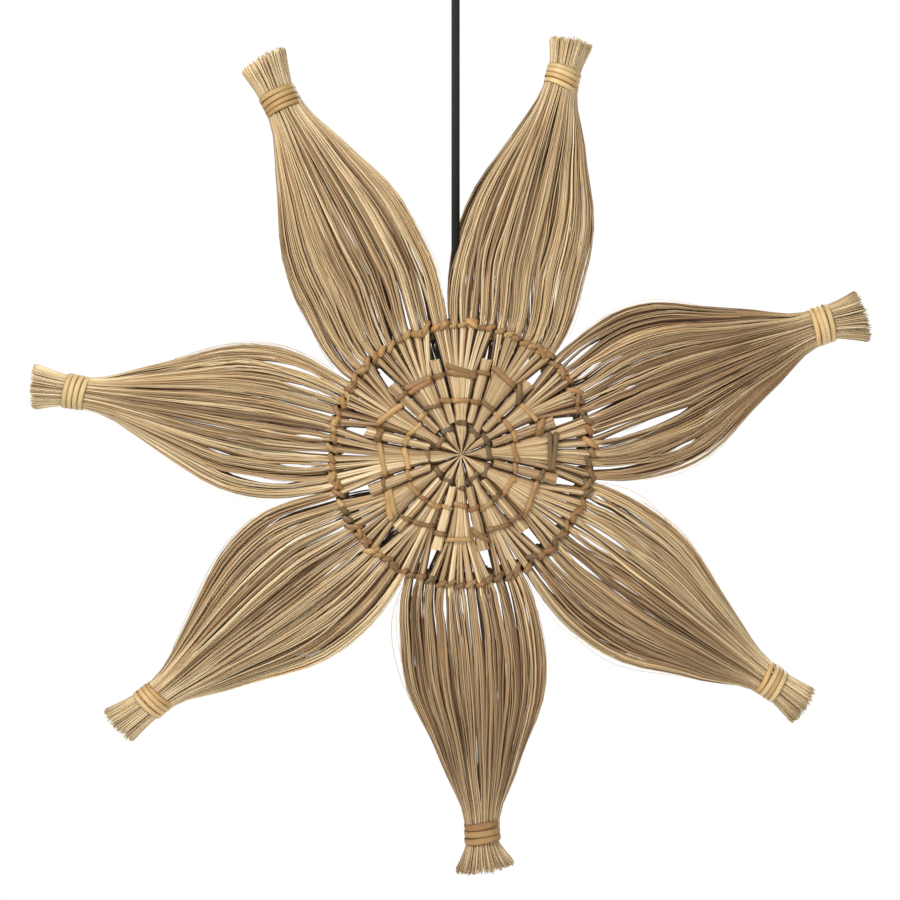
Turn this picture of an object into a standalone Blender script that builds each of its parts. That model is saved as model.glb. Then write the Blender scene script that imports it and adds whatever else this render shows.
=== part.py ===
"""Straw star ornament on a black cord.

Two woven faces of straw stand apart, back to back. In each, twelve spokes fan out from the
centre into strands, with a short cut bundle between every two spokes. The strands cross a
hoop and run on as seven petals. A tie at each tip gathers the strands of both faces, and
they end there in a brush.

The star stands in the XZ plane, with its front towards -Y. The origin is the centre of the
ceiling fitting's flat top face, and the cord hangs straight down from it.
"""

import math
from collections import namedtuple

import bmesh
import bpy
from mathutils import Matrix, Vector

# Fits, in metres
clearance = 0.0003
strand_gap = 0.0007
merge_distance = 0.00001

# Hanging parts
ceiling_to_star = 0.360
star_right_of_cord = 0.0039
cord_diameter = 0.006
cord_point_spacing = 0.015
fitting_radius = 0.028
fitting_plate_height = 0.006
fitting_height = 0.025
fitting_shoulder_height = 0.0136
fitting_shoulder_share = 0.45
fitting_sides = 24
cord_grip_wall = 0.003
holder_radius = 0.014
holder_length = 0.060
holder_neck_height = 0.010
holder_sides = 16
socket_radius = 0.0085
socket_depth = 0.028
bracket_thickness = 0.003
bracket_arm_width = 0.004
bracket_ring_width = 0.005
bracket_arc_steps = 8

# Woven faces
ring_radius = 0.090
face_depth = 0.043
disc_dome = 0.004
straw_thickness = 0.0045
hoop_radius = 0.0025
inner_hoop_radius = 0.0016
inner_hoop_shares = (0.425, 0.63)
hoop_segments = 30
inner_hoop_segments = (16, 20)
hoop_sides = 5
hub_share = 0.05
cinch_share = 0.215
cinch_gap = 0.0008
spacer_start_share = 0.26
spacer_end_share = 0.755
spacer_inner_width = 0.0055
spacer_outer_width = 0.0088
spacer_flat_share = 0.6
spacer_angles = (106.0, 75.0, 46.6, 19.6, -15.0, -50.0, -77.0, -105.0, -131.0, -158.8, -193.4, -224.4)

# Petals
strands_per_petal = 12
ridges_at_neck = 6
ridge_height = 0.0012
star_radius = 0.305
belly_radius = 0.142
belly_half_width = 0.052
ring_to_belly_station = 0.45
belly_to_neck_stations = (0.0, 0.30, 0.62)
belly_bulge = 0.0015
sheet_sag = 0.006
taper_power = 1.25
neck_radius = 0.0115
neck_rim = 0.0015
tie_length = 0.015
tie_thickness = 0.0017
tie_sides = 12
brush_length = 0.030
brush_width = 0.033
brush_depth_share = 0.85

# Each petal's lower edge on the ring and neck angle in degrees, then its shares of the star's
# radius, of the brush's length, of the belly's half width on its clockwise and on its
# anticlockwise side, and of the brush's width
Petal = namedtuple("Petal", "lower_edge neck_angle reach brush clockwise anticlockwise brush_width")
petals = (
    Petal(95.3, 117.0, 1.035, 1.073, 0.865, 1.044, 1.091),
    Petal(46.3, 74.9, 1.004, 0.923, 0.990, 0.750, 0.924),
    Petal(-10.9, 19.7, 0.995, 0.997, 1.173, 1.096, 1.106),
    Petal(-61.8, -36.2, 0.994, 0.940, 1.058, 0.913, 0.818),
    Petal(-115.0, -86.8, 0.979, 0.953, 0.952, 0.971, 1.242),
    Petal(-164.3, -141.4, 1.024, 1.043, 1.077, 1.058, 0.939),
    Petal(-213.3, -189.2, 1.021, 1.077, 1.029, 1.010, 0.988),
)

# Places that follow from the sizes above
hoop_depth = face_depth - straw_thickness / 2 - clearance - hoop_radius
hoop_height_over_cord = math.sqrt(ring_radius ** 2 - star_right_of_cord ** 2)
bracket_top = hoop_height_over_cord - hoop_radius - clearance
holder_shoulder = bracket_top - bracket_thickness - clearance
holder_neck_radius = cord_diameter / 2 + cord_grip_wall
holder_top = bracket_top + holder_neck_height
faces = (("front", 1), ("back", -1))

for old in list(bpy.data.objects):
    bpy.data.objects.remove(old, do_unlink=True)

parts = bpy.data.collections.new("straw_star")
bpy.context.scene.collection.children.link(parts)


def finish(name, colour, roughness):
    """Make a plain material of one colour."""
    material = bpy.data.materials.new(name)
    material.use_nodes = True
    shader = material.node_tree.nodes["Principled BSDF"]
    shader.inputs["Base Color"].default_value = (*colour, 1.0)
    shader.inputs["Roughness"].default_value = roughness
    shader.inputs["Metallic"].default_value = 0.0
    return material


straw = finish("straw", (0.56, 0.41, 0.22), 0.75)
cut_straw = finish("cut_straw", (0.60, 0.45, 0.25), 0.75)
cane = finish("cane", (0.16, 0.10, 0.06), 0.65)
tie_strip = finish("tie_strip", (0.66, 0.47, 0.24), 0.60)
black_plastic = finish("black_plastic", (0.02, 0.02, 0.02), 0.45)
black_metal = finish("black_metal", (0.03, 0.03, 0.03), 0.40)
black_cloth = finish("black_cloth", (0.02, 0.025, 0.02), 0.85)


def on_star(across, up, forward):
    """World point at a distance right of, above and in front of the star's centre."""
    return Vector((star_right_of_cord + across, -forward, up - ceiling_to_star))


def at_angle(radius, degrees, forward):
    """World point on the star, by its radius and its angle from the right."""
    angle = math.radians(degrees)
    return on_star(radius * math.cos(angle), radius * math.sin(angle), forward)


def blend(start, end, share):
    """Value at a share of the way from start to end."""
    return start + (end - start) * share


def add_object(name, data, material):
    """Link a mesh or curve as a named part."""
    data.materials.append(material)
    obj = bpy.data.objects.new(name, data)
    parts.objects.link(obj)
    return obj


def add_solid(name, bm, material):
    """Turn a closed bmesh into a named part whose faces point out."""
    bmesh.ops.recalc_face_normals(bm, faces=bm.faces)
    if bm.calc_volume(signed=True) < 0.0:
        bmesh.ops.reverse_faces(bm, faces=bm.faces)
    mesh = bpy.data.meshes.new(name)
    bm.to_mesh(mesh)
    bm.free()
    return add_object(name, mesh, material)


def add_row(bm, points):
    """Add a row of vertices."""
    return [bm.verts.new(point) for point in points]


def stitch(bm, first, second):
    """Fill the strip between two rows of vertices, which may differ in number."""
    i = j = 0
    while i < len(first) - 1 or j < len(second) - 1:
        next_first = (2 * i + 1) * (len(second) - 1)
        next_second = (2 * j + 1) * (len(first) - 1)
        if next_first == next_second:
            bm.faces.new((first[i], first[i + 1], second[j + 1], second[j]))
            i += 1
            j += 1
        elif next_first < next_second:
            bm.faces.new((first[i], first[i + 1], second[j]))
            i += 1
        else:
            bm.faces.new((first[i], second[j + 1], second[j]))
            j += 1


def turned(name, profile, steps, material, closed=False):
    """Turn a profile of (radius, height) points about the Z axis."""
    mesh = bpy.data.meshes.new(name)
    edges = [(i, i + 1) for i in range(len(profile) - 1)]
    if closed:
        edges.append((len(profile) - 1, 0))
    mesh.from_pydata([(radius, 0.0, height) for radius, height in profile], edges, [])
    obj = add_object(name, mesh, material)
    screw = obj.modifiers.new("turn", "SCREW")
    screw.steps = screw.render_steps = steps
    screw.use_merge_vertices = True
    screw.merge_threshold = merge_distance
    return obj


# Strands
def petal_edges(index):
    """Angles of a petal's lower and upper edge on the ring."""
    lower = petals[index].lower_edge
    upper = petals[index - 1].lower_edge
    if upper < lower:
        upper += 360.0
    return lower, upper


def strand_edge(number):
    """Angle of the edge before a strand, counted clockwise from the first petal's upper edge."""
    turns, number = divmod(number, strands_per_petal * len(petals))
    index, within = divmod(number, strands_per_petal)
    lower, upper = petal_edges(index)
    return blend(upper, lower, within / strands_per_petal) - 360.0 * turns


def nearest_strand_edge(degrees):
    """Number of the strand edge that is nearest to an angle."""
    count = strands_per_petal * len(petals)
    return min(range(count + strands_per_petal), key=lambda number: abs(strand_edge(number) - degrees))


def disc_height(radius):
    """Distance of the straw's middle from the star's middle plane, inside the ring."""
    return face_depth + disc_dome * (1.0 - (radius / ring_radius) ** 2)


def spacer_half_width(radius):
    """Half the width of a cut bundle at a radius."""
    start = ring_radius * spacer_start_share
    end = ring_radius * spacer_end_share
    return blend(spacer_inner_width, spacer_outer_width, (radius - start) / (end - start)) / 2


def spoke_station(bm, radius, inset, spacers, side):
    """Add a spoke's five-sided section between two cut bundles, and return its top and bottom."""
    offset = math.degrees(math.asin(inset / radius))
    upper = spacers[0] - offset
    lower = spacers[1] + offset
    height = disc_height(radius)
    top = height + straw_thickness / 2
    bottom = height - straw_thickness / 2
    middle = (upper + lower) / 2
    tops = [(upper, top - ridge_height), (middle, top), (lower, top - ridge_height)]
    top_row = add_row(bm, [at_angle(radius, angle, side * depth) for angle, depth in tops])
    bottom_row = add_row(bm, [at_angle(radius, angle, side * bottom) for angle in (upper, lower)])
    return top_row, bottom_row


def join_sections(bm, first, second):
    """Close the four sides between two sections, each a top row and a bottom row."""
    stitch(bm, first[0], second[0])
    stitch(bm, first[1], second[1])
    for end in (0, -1):
        stitch(bm, [first[0][end], first[1][end]], [second[0][end], second[1][end]])


def add_fingers(bm, section, strands, radius, side):
    """Run each strand on from a spoke's end to the ring, with a gap on both sides."""
    top_row, bottom_row = section
    offset = math.degrees(strand_gap / 2 / radius)
    top = side * (face_depth + straw_thickness / 2)
    bottom = side * (face_depth - straw_thickness / 2)
    for i, strand in enumerate(strands):
        upper = strand_edge(strand) - offset
        lower = strand_edge(strand + 1) + offset
        end_top = add_row(bm, [at_angle(radius, angle, top) for angle in (upper, lower)])
        end_bottom = add_row(bm, [at_angle(radius, angle, bottom) for angle in (upper, lower)])
        root = (top_row[i:i + 2], bottom_row[i:i + 2])
        join_sections(bm, root, (end_top, end_bottom))
        stitch(bm, end_top, end_bottom)


def make_spokes(face, side):
    """The twelve spokes of one face, joined at the hub, each fanned out into its strands."""
    bm = bmesh.new()
    hub = ring_radius * hub_share
    top = side * (disc_height(hub) + straw_thickness / 2)
    bottom = side * (disc_height(hub) - straw_thickness / 2)
    hub_top = add_row(bm, [at_angle(hub, angle, top) for angle in spacer_angles])
    hub_bottom = add_row(bm, [at_angle(hub, angle, bottom) for angle in spacer_angles])
    bm.faces.new(hub_top)
    bm.faces.new(hub_bottom)
    cinch = ring_radius * cinch_share
    start = ring_radius * spacer_start_share - cinch_gap
    end = ring_radius * spacer_end_share + cinch_gap
    for i, lower in enumerate(spacer_angles):
        upper = spacer_angles[i - 1] if i else spacer_angles[-1] + 360.0
        spacers = (upper, lower)
        root = ([hub_top[i - 1], hub_top[i]], [hub_bottom[i - 1], hub_bottom[i]])
        at_cinch = spoke_station(bm, cinch, cinch_gap, spacers, side)
        join_sections(bm, root, at_cinch)
        inset = spacer_half_width(start) + strand_gap / 2
        at_start = spoke_station(bm, start, inset, spacers, side)
        join_sections(bm, at_cinch, at_start)

        first = nearest_strand_edge(upper)
        last = nearest_strand_edge(lower)
        if last <= first:
            first -= strands_per_petal * len(petals)
        inset = math.degrees(math.asin((spacer_half_width(end) + strand_gap / 2) / end))
        count = last - first
        angles = [blend(upper - inset, lower + inset, k / count) for k in range(count + 1)]
        height = disc_height(end)
        tops = [at_angle(end, angle, side * (height + straw_thickness / 2)) for angle in angles]
        bottoms = [at_angle(end, angle, side * (height - straw_thickness / 2)) for angle in angles]
        at_end = (add_row(bm, tops), add_row(bm, bottoms))
        join_sections(bm, at_start, at_end)
        add_fingers(bm, at_end, range(first, last), ring_radius - clearance / 2, side)
    add_solid(face + "_spokes", bm, straw)


def make_spacer(face, side, number, degrees):
    """A short cut bundle between two spokes, with a flattened six-sided section."""
    bm = bmesh.new()
    rows = []
    for share in (spacer_start_share, spacer_end_share):
        radius = ring_radius * share
        half = spacer_half_width(radius)
        height = disc_height(radius)
        section = []
        flat = spacer_flat_share
        for across, up in ((-1, 0), (-flat, 1), (flat, 1), (1, 0), (flat, -1), (-flat, -1)):
            turn = math.degrees(across * half / radius)
            depth = height + up * straw_thickness / 2
            section.append(at_angle(radius, degrees + turn, side * depth))
        rows.append(add_row(bm, section))
    for row in rows:
        bm.faces.new(row)
    stitch(bm, rows[0] + rows[0][:1], rows[1] + rows[1][:1])
    add_solid(f"{face}_spacer_{number}", bm, cut_straw)


def make_hoop(name, radius, depth, thickness, segments):
    """A round hoop of cane, parallel to the star."""
    bpy.ops.mesh.primitive_torus_add(
        major_radius=radius, minor_radius=thickness,
        major_segments=segments, minor_segments=hoop_sides,
        location=on_star(0.0, 0.0, depth), rotation=(math.radians(90.0), 0.0, 0.0))
    hoop = bpy.context.object
    hoop.name = hoop.data.name = name
    hoop.data.materials.append(cane)
    for collection in list(hoop.users_collection):
        collection.objects.unlink(hoop)
    parts.objects.link(hoop)


# Petals
def tip_radius(petal):
    """Distance of a petal's cut end from the star's centre."""
    return star_radius * petal.reach


def tie_radius(petal):
    """Distance of the middle of a petal's tie from the star's centre."""
    return tip_radius(petal) - brush_length * petal.brush


def neck_radius_from_centre(petal):
    """Distance of the tie's inner end from the star's centre."""
    return tie_radius(petal) - tie_length / 2


def along_petal(petal, along, across, forward):
    """World point in a petal's own axes: along it, across it and in front of the middle plane."""
    angle = math.radians(petal.neck_angle)
    return on_star(
        along * math.cos(angle) - across * math.sin(angle),
        along * math.sin(angle) + across * math.cos(angle),
        forward)


def ring_offset(index, share):
    """Angle on the ring from the petal's axis, for a share from -1 to 1 across the petal."""
    lower, upper = petal_edges(index)
    edge = math.degrees(strand_gap / 2 / ring_radius)
    angle = blend(lower + edge, upper - edge, (share + 1.0) / 2)
    return (angle - petals[index].neck_angle + 180.0) % 360.0 - 180.0


def belly_across(petal, share):
    """Distance across the petal's widest part, for a share from -1 to 1."""
    mean = (petal.anticlockwise + petal.clockwise) / 2
    lean = (petal.anticlockwise - petal.clockwise) / 2
    return belly_half_width * (mean * share + lean * share ** 2)


def sheet_across(index, along, share):
    """Distance across the petal at a distance along it, between the ring and the neck."""
    petal = petals[index]
    belly = belly_across(petal, share)
    if along < belly_radius:
        offset = math.radians(ring_offset(index, share))
        start = ring_radius * math.cos(offset)
        x = (along - start) / (belly_radius - start)
        leave = (x ** 3 - 2 * x ** 2 + x) * (belly_radius - start) * math.tan(offset)
        return (2 * x ** 3 - 3 * x ** 2 + 1) * ring_radius * math.sin(offset) + leave + (
            3 * x ** 2 - 2 * x ** 3) * belly
    neck = neck_radius_from_centre(petal)
    fullness = taper((along - belly_radius) / (neck - belly_radius))
    return blend(neck_radius * math.sin(share * math.pi / 2), belly, fullness)


def taper(x):
    """Share of the petal's fullness that is left between its belly, 0, and its neck, 1."""
    y = x ** taper_power
    return 1.0 - 3 * y ** 2 + 2 * y ** 3


def ridge(k):
    """Height of the ridged surface at its k-th point across: up on a strand, down between two."""
    return ridge_height * (k % 2)


def ring_section(bm, index, side):
    """Section of a petal where it starts on the ring."""
    petal = petals[index]
    shares = [k / strands_per_petal - 1.0 for k in range(2 * strands_per_petal + 1)]
    radius = ring_radius + clearance / 2
    lower, upper = petal_edges(index)
    inner_radius = radius / math.cos(math.radians(upper - lower) / 4)
    top = face_depth + straw_thickness / 2 - ridge_height
    tops = [
        at_angle(radius, petal.neck_angle + ring_offset(index, share), side * (top + ridge(k)))
        for k, share in enumerate(shares)]
    bottom = side * (face_depth - straw_thickness / 2)
    bottoms = [
        at_angle(inner_radius, petal.neck_angle + ring_offset(index, share), bottom)
        for share in (-1.0, 0.0, 1.0)]
    return add_row(bm, tops), add_row(bm, bottoms)


def sheet_section(bm, index, along, side):
    """Section of a petal where its strands lie side by side as a bowed sheet."""
    petal = petals[index]
    shares = [k / strands_per_petal - 1.0 for k in range(2 * strands_per_petal + 1)]
    neck = neck_radius_from_centre(petal)
    fullness = taper(max(0.0, (along - belly_radius) / (neck - belly_radius)))
    middle = blend(neck_radius / 2, face_depth + belly_bulge, fullness)
    width = sheet_across(index, along, 1.0) - sheet_across(index, along, -1.0)
    thickness = straw_thickness * (belly_across(petal, 1.0) - belly_across(petal, -1.0)) / width
    sag = sheet_sag * fullness

    def point(share, forward):
        return along_petal(petal, along, sheet_across(index, along, share), side * forward)

    tops = [
        point(share, middle - sag * share ** 2 + thickness / 2 - ridge_height + ridge(k))
        for k, share in enumerate(shares)]
    bottoms = [point(share, middle - sag * share ** 2 - thickness / 2) for share in (-1.0, 0.0, 1.0)]
    return add_row(bm, tops), add_row(bm, bottoms)


def bundle_section(bm, index, along, half_width, depth, side):
    """Section of a petal where its strands are gathered as half of a round bundle."""
    petal = petals[index]
    open_angle = math.pi / 2 - math.asin(neck_rim / neck_radius)
    tops = []
    for k in range(2 * ridges_at_neck + 1):
        angle = (k / ridges_at_neck - 1.0) * open_angle
        scale = 1.0 - (ridge_height / 2 - ridge(k) / 2) / neck_radius
        across = half_width * scale * math.sin(angle)
        tops.append(along_petal(petal, along, across, side * depth * scale * math.cos(angle)))
    edge = half_width * math.sin(open_angle) * (1.0 - ridge_height / 2 / neck_radius)
    bottoms = [along_petal(petal, along, across, side * clearance / 2) for across in (-edge, 0.0, edge)]
    return add_row(bm, tops), add_row(bm, bottoms)


def make_petal(face, side, index):
    """One face's layer of a petal, from the ring through the neck to the brush's cut end."""
    petal = petals[index]
    bm = bmesh.new()
    neck_start = neck_radius_from_centre(petal) - tie_thickness / 2
    neck_end = tie_radius(petal) + tie_length / 2 + tie_thickness / 2
    sections = [ring_section(bm, index, side)]
    along = blend(ring_radius, belly_radius, ring_to_belly_station)
    sections.append(sheet_section(bm, index, along, side))
    for share in belly_to_neck_stations:
        sections.append(sheet_section(bm, index, blend(belly_radius, neck_start, share), side))
    for along in (neck_start, neck_end):
        sections.append(bundle_section(bm, index, along, neck_radius, neck_radius, side))
    brush = brush_width * petal.brush_width / 2
    end = bundle_section(bm, index, tip_radius(petal), brush, brush * brush_depth_share, side)
    sections.append(end)
    for first, second in zip(sections, sections[1:]):
        join_sections(bm, first, second)
    for end in (sections[0], sections[-1]):
        stitch(bm, *end)
    add_solid(f"{face}_petal_{index + 1}", bm, straw)


def make_tie(index):
    """The flat strip wound round both layers of a petal at its neck, as one band."""
    petal = petals[index]
    inner = (neck_radius + clearance) / math.cos(math.pi / tie_sides)
    half = tie_length / 2
    chamfer = tie_thickness / 2
    profile = [
        (inner, half), (inner + chamfer, half), (inner + tie_thickness, half - chamfer),
        (inner + tie_thickness, chamfer - half), (inner + chamfer, -half), (inner, -half)]
    tie = turned(f"tip_tie_{index + 1}", profile, tie_sides, tie_strip, closed=True)
    angle = math.radians(90.0 - petal.neck_angle)
    turn = Matrix.Rotation(angle, 4, "Y")
    place = along_petal(petal, tie_radius(petal), 0.0, 0.0)
    tie.matrix_world = Matrix.Translation(place) @ turn


# Hanging parts
def over_cord(height):
    """World height of a place above the star's centre."""
    return height - ceiling_to_star


def make_holder():
    """The lamp holder inside the star: a neck that grips the cord, a body and an open socket."""
    bottom = holder_shoulder - holder_length
    profile = [
        (0.0, holder_top), (holder_neck_radius, holder_top), (holder_neck_radius, holder_shoulder),
        (holder_radius, holder_shoulder), (holder_radius, bottom), (socket_radius, bottom),
        (socket_radius, bottom + socket_depth), (0.0, bottom + socket_depth)]
    holder = turned("lamp_holder", profile, holder_sides, black_plastic)
    holder.location.z = -ceiling_to_star


def make_bracket():
    """The flat bracket on the holder's shoulder, whose arms carry the two hoops."""
    hole = (holder_neck_radius + clearance) / math.cos(math.pi / holder_sides)
    outer = hole + bracket_ring_width
    reach = hoop_depth + hoop_radius - clearance
    half_arm = bracket_arm_width / 2
    corner = math.acos(half_arm / outer)
    right = []
    for k in range(bracket_arc_steps + 1):
        angle = blend(-corner, corner, k / bracket_arc_steps)
        right.append((outer * math.cos(angle), outer * math.sin(angle)))
    right = [(half_arm, -reach)] + right + [(half_arm, reach)]
    outline = right + [(-x, -y) for x, y in right]
    turns = [math.tau * k / holder_sides for k in range(holder_sides)]
    circle = [(hole * math.cos(turn), hole * math.sin(turn)) for turn in turns]
    curve = bpy.data.curves.new("holder_bracket", "CURVE")
    curve.dimensions = "2D"
    curve.fill_mode = "BOTH"
    curve.extrude = bracket_thickness / 2
    for points in (outline, circle):
        spline = curve.splines.new("POLY")
        spline.points.add(len(points) - 1)
        for point, (x, y) in zip(spline.points, points):
            point.co = (x, y, 0.0, 1.0)
        spline.use_cyclic_u = True
    bracket = add_object("holder_bracket", curve, black_metal)
    bracket.location.z = over_cord(bracket_top - bracket_thickness / 2)


def make_cord():
    """The cord between the ceiling fitting and the lamp holder, straight under the star's weight."""
    top = -fitting_height - clearance
    bottom = over_cord(holder_top) + clearance
    count = max(2, math.ceil((top - bottom) / cord_point_spacing)) + 1
    curve = bpy.data.curves.new("cord", "CURVE")
    curve.dimensions = "3D"
    curve.bevel_depth = cord_diameter / 2
    curve.bevel_resolution = 2
    curve.use_fill_caps = True
    spline = curve.splines.new("POLY")
    spline.points.add(count - 1)
    for k, point in enumerate(spline.points):
        point.co = (0.0, 0.0, blend(top, bottom, k / (count - 1)), 1.0)
    add_object("cord", curve, black_cloth)


def make_fitting():
    """The ceiling fitting: a round plate that narrows to the cord's grip."""
    grip = cord_diameter / 2 + cord_grip_wall
    shoulder = blend(grip, fitting_radius, fitting_shoulder_share)
    profile = [
        (0.0, 0.0), (fitting_radius, 0.0), (fitting_radius, -fitting_plate_height),
        (shoulder, -fitting_shoulder_height), (grip, -fitting_height), (0.0, -fitting_height)]
    turned("ceiling_fitting", profile, fitting_sides, black_plastic)


for face, side in faces:
    make_spokes(face, side)
    for number, degrees in enumerate(spacer_angles, start=1):
        make_spacer(face, side, number, degrees)
    make_hoop(face + "_hoop", ring_radius, side * hoop_depth, hoop_radius, hoop_segments)
    for number, share in enumerate(inner_hoop_shares, start=1):
        radius = ring_radius * share
        depth = disc_height(radius) - straw_thickness / 2 - clearance - inner_hoop_radius
        segments = inner_hoop_segments[number - 1]
        make_hoop(f"{face}_inner_hoop_{number}", radius, side * depth, inner_hoop_radius, segments)
    for index in range(len(petals)):
        make_petal(face, side, index)
for index in range(len(petals)):
    make_tie(index)
make_holder()
make_bracket()
make_cord()
make_fitting()
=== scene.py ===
"""Looks of the straw star ornament: loose straw fibres, lashings, ties, hoops, holder and cord.

Every fibre is a thin closed prism of its own. The petals, spokes and cut bundles are laid out
from measures of the frame's solids, and the fibres then stand for those solids.
"""

import math
from collections import namedtuple

import bpy
import numpy as np
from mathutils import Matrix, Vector


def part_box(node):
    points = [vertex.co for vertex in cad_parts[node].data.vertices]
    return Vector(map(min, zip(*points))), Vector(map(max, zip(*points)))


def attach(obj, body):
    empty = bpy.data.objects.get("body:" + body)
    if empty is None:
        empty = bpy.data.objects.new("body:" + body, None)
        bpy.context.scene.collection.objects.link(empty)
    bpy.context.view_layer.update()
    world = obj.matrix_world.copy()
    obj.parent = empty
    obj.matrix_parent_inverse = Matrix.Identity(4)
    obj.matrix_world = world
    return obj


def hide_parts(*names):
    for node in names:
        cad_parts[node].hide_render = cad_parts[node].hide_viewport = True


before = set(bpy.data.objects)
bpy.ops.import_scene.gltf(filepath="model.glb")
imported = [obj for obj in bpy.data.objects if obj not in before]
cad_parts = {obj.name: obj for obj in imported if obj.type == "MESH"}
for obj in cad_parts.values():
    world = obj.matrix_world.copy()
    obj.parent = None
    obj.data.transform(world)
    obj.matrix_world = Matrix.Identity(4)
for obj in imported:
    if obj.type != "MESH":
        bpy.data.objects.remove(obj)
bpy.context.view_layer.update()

bl_info = {
    "name": "Straw star ornament",
    "version": (1, 0, 0),
    "blender": (4, 5, 0),
    "location": "View3D > Sidebar > Straw star",
    "description": "Dresses a straw star with fibres, lashings, ties and its cord",
    "category": "Add Mesh",
}

body = "root"
faces = (("front", 1.0), ("back", -1.0))

# Sizes that the solids share, in metres
petal_count = 7
strands_per_petal = 12
spacer_count = 12
straw_thickness = 0.0045
half_straw = straw_thickness / 2
strand_gap = 0.0007
disc_dome = 0.004
belly_radius = 0.142
belly_bulge = 0.0015
sheet_sag = 0.006
taper_power = 1.25
neck_radius = 0.0115
tie_length = 0.015
spoke_crown = 0.0018
spacer_lift = 0.0022
hoop_radius = 0.0025
inner_hoop_radius = 0.0016
cord_diameter = 0.006

# The cord's route, from its grip at the ceiling straight down to the lamp holder
cord_route = [(0.0, 0.0, height) for height in np.linspace(-0.0253, -0.262585, 17)]

# Tones from 0, dark, to 1, pale, and how much painted shade darkens the edges of a spoke
petal_tones = (0.54, 0.57, 0.43, 0.52, 0.36, 0.62, 0.62)
spoke_tones = (0.53, 0.58, 0.48, 0.55, 0.48, 0.58, 0.52, 0.60, 0.54, 0.50, 0.58, 0.50)
spacer_tones = (0.52, 0.55, 0.48, 0.52, 0.46, 0.48, 0.46, 0.90, 0.50, 0.52, 0.54, 0.48)
painted_edge_shade = 0.34

# Strands: how many clumps each has, how far it spreads as a share of its pitch, at the ring by
# face, and how far it is drawn in by its lashing
clumps = 4
ring_spread = {1.0: 0.345, -1.0: 0.40}
belly_spread = 0.43
drawn_in = 0.72

# Petals: gaps in each layer, how far apart fibres beside a gap feel it, how far petals of the
# back face lean to one side, by index, and how much of the neck's radius the fibres fill
gaps_per_layer = 14
gap_fall = 0.004
back_lean = {1: 0.007}
neck_filling = 0.95

# Shares of a petal's fibres that lie on its outside, are darker or have a wider wave, by how
# much they do, and how much painted shade darkens the fibres deeper inside the layer
outside_share, dark_share, wild_share = 0.35, 0.10, 0.05
dark_step, wild_factor, painted_depth_shade = 0.30, 2.2, 0.26
wave_start, wave_length = 0.08, 0.74

# Stations along a petal, as shares of the way from the ring to the belly, from the belly to the
# neck and along the brush, and stations along a spoke, as radii
ring_stations = (0.15, 0.32, 0.50, 0.68, 0.85, 1.0)
neck_stations = (0.07, 0.16, 0.27, 0.39, 0.50, 0.61, 0.72, 0.83, 0.92, 1.0)
brush_stations = (0.35, 0.70, 1.0)
spoke_stations = np.array((
    0.0006, 0.006, 0.012, 0.0197, 0.029, 0.0381, 0.048, 0.057, 0.063, 0.071, 0.080, 0.090, 0.096,
    0.104, 0.113))

# Spokes: where their strands begin to fan, the gap beside a cut bundle, on top and below, the
# share of stems that reach the hub, where the hub's unevenness ends, and how far ends sink
fan_start = 0.0575
open_gap = 0.0014
filled_gap = 0.0004
hub_share = 0.34
hub_start, hub_end = 0.010, 0.030
end_sink = 0.0012

# Gaps beyond the cut bundles that strands of the back face cross: their angles on the star,
# half their width, and how far beside them the strands still move
crossed_gaps = tuple(math.radians(angle) for angle in (76.0, 106.0, 196.0, 229.0))
crossed_width = 0.0050
crossed_fall = 0.009

# Openings that show white right through both faces: both ends, right of and above the star's
# centre at its middle plane, and half the width. Beyond its sides an opening's push falls off.
Slit = namedtuple("Slit", "start end half_width")
slits = (
    Slit((0.0974, 0.0104), (0.1675, 0.0319), 0.0031),
    Slit((0.0730, 0.0591), (0.0981, 0.0834), 0.0018),
    Slit((0.0816, 0.0505), (0.0995, 0.0691), 0.0018),
    Slit((0.1146, 0.0462), (0.1282, 0.0505), 0.0010),
    Slit((0.1425, -0.0018), (0.1718, 0.0125), 0.0011),
    Slit((-0.0902, 0.0419), (-0.1274, 0.0519), 0.0014),
    Slit((-0.0967, 0.0584), (-0.1532, 0.0691), 0.0014),
    Slit((-0.0981, 0.0104), (-0.1160, 0.0154), 0.0013),
    Slit((-0.0981, -0.0104), (-0.1339, -0.0061), 0.0013),
    Slit((-0.1146, -0.0226), (-0.1783, -0.0132), 0.0021),
    Slit((-0.1582, -0.0032), (-0.1847, 0.0061), 0.0010),
    Slit((0.0866, -0.0476), (0.1232, -0.0712), 0.0016),
    Slit((0.0802, -0.0541), (0.1103, -0.0741), 0.0014),
    Slit((0.0730, -0.0677), (0.0981, -0.0891), 0.0013),
    Slit((0.0945, -0.0290), (0.1067, -0.0347), 0.0019),
    Slit((-0.0115, -0.0985), (-0.0115, -0.1185), 0.0011),
    Slit((-0.0007, -0.0970), (0.0021, -0.1185), 0.0011),
    Slit((0.0193, -0.0942), (0.0200, -0.1042), 0.0011),
)
slit_fall = 0.006

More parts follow.
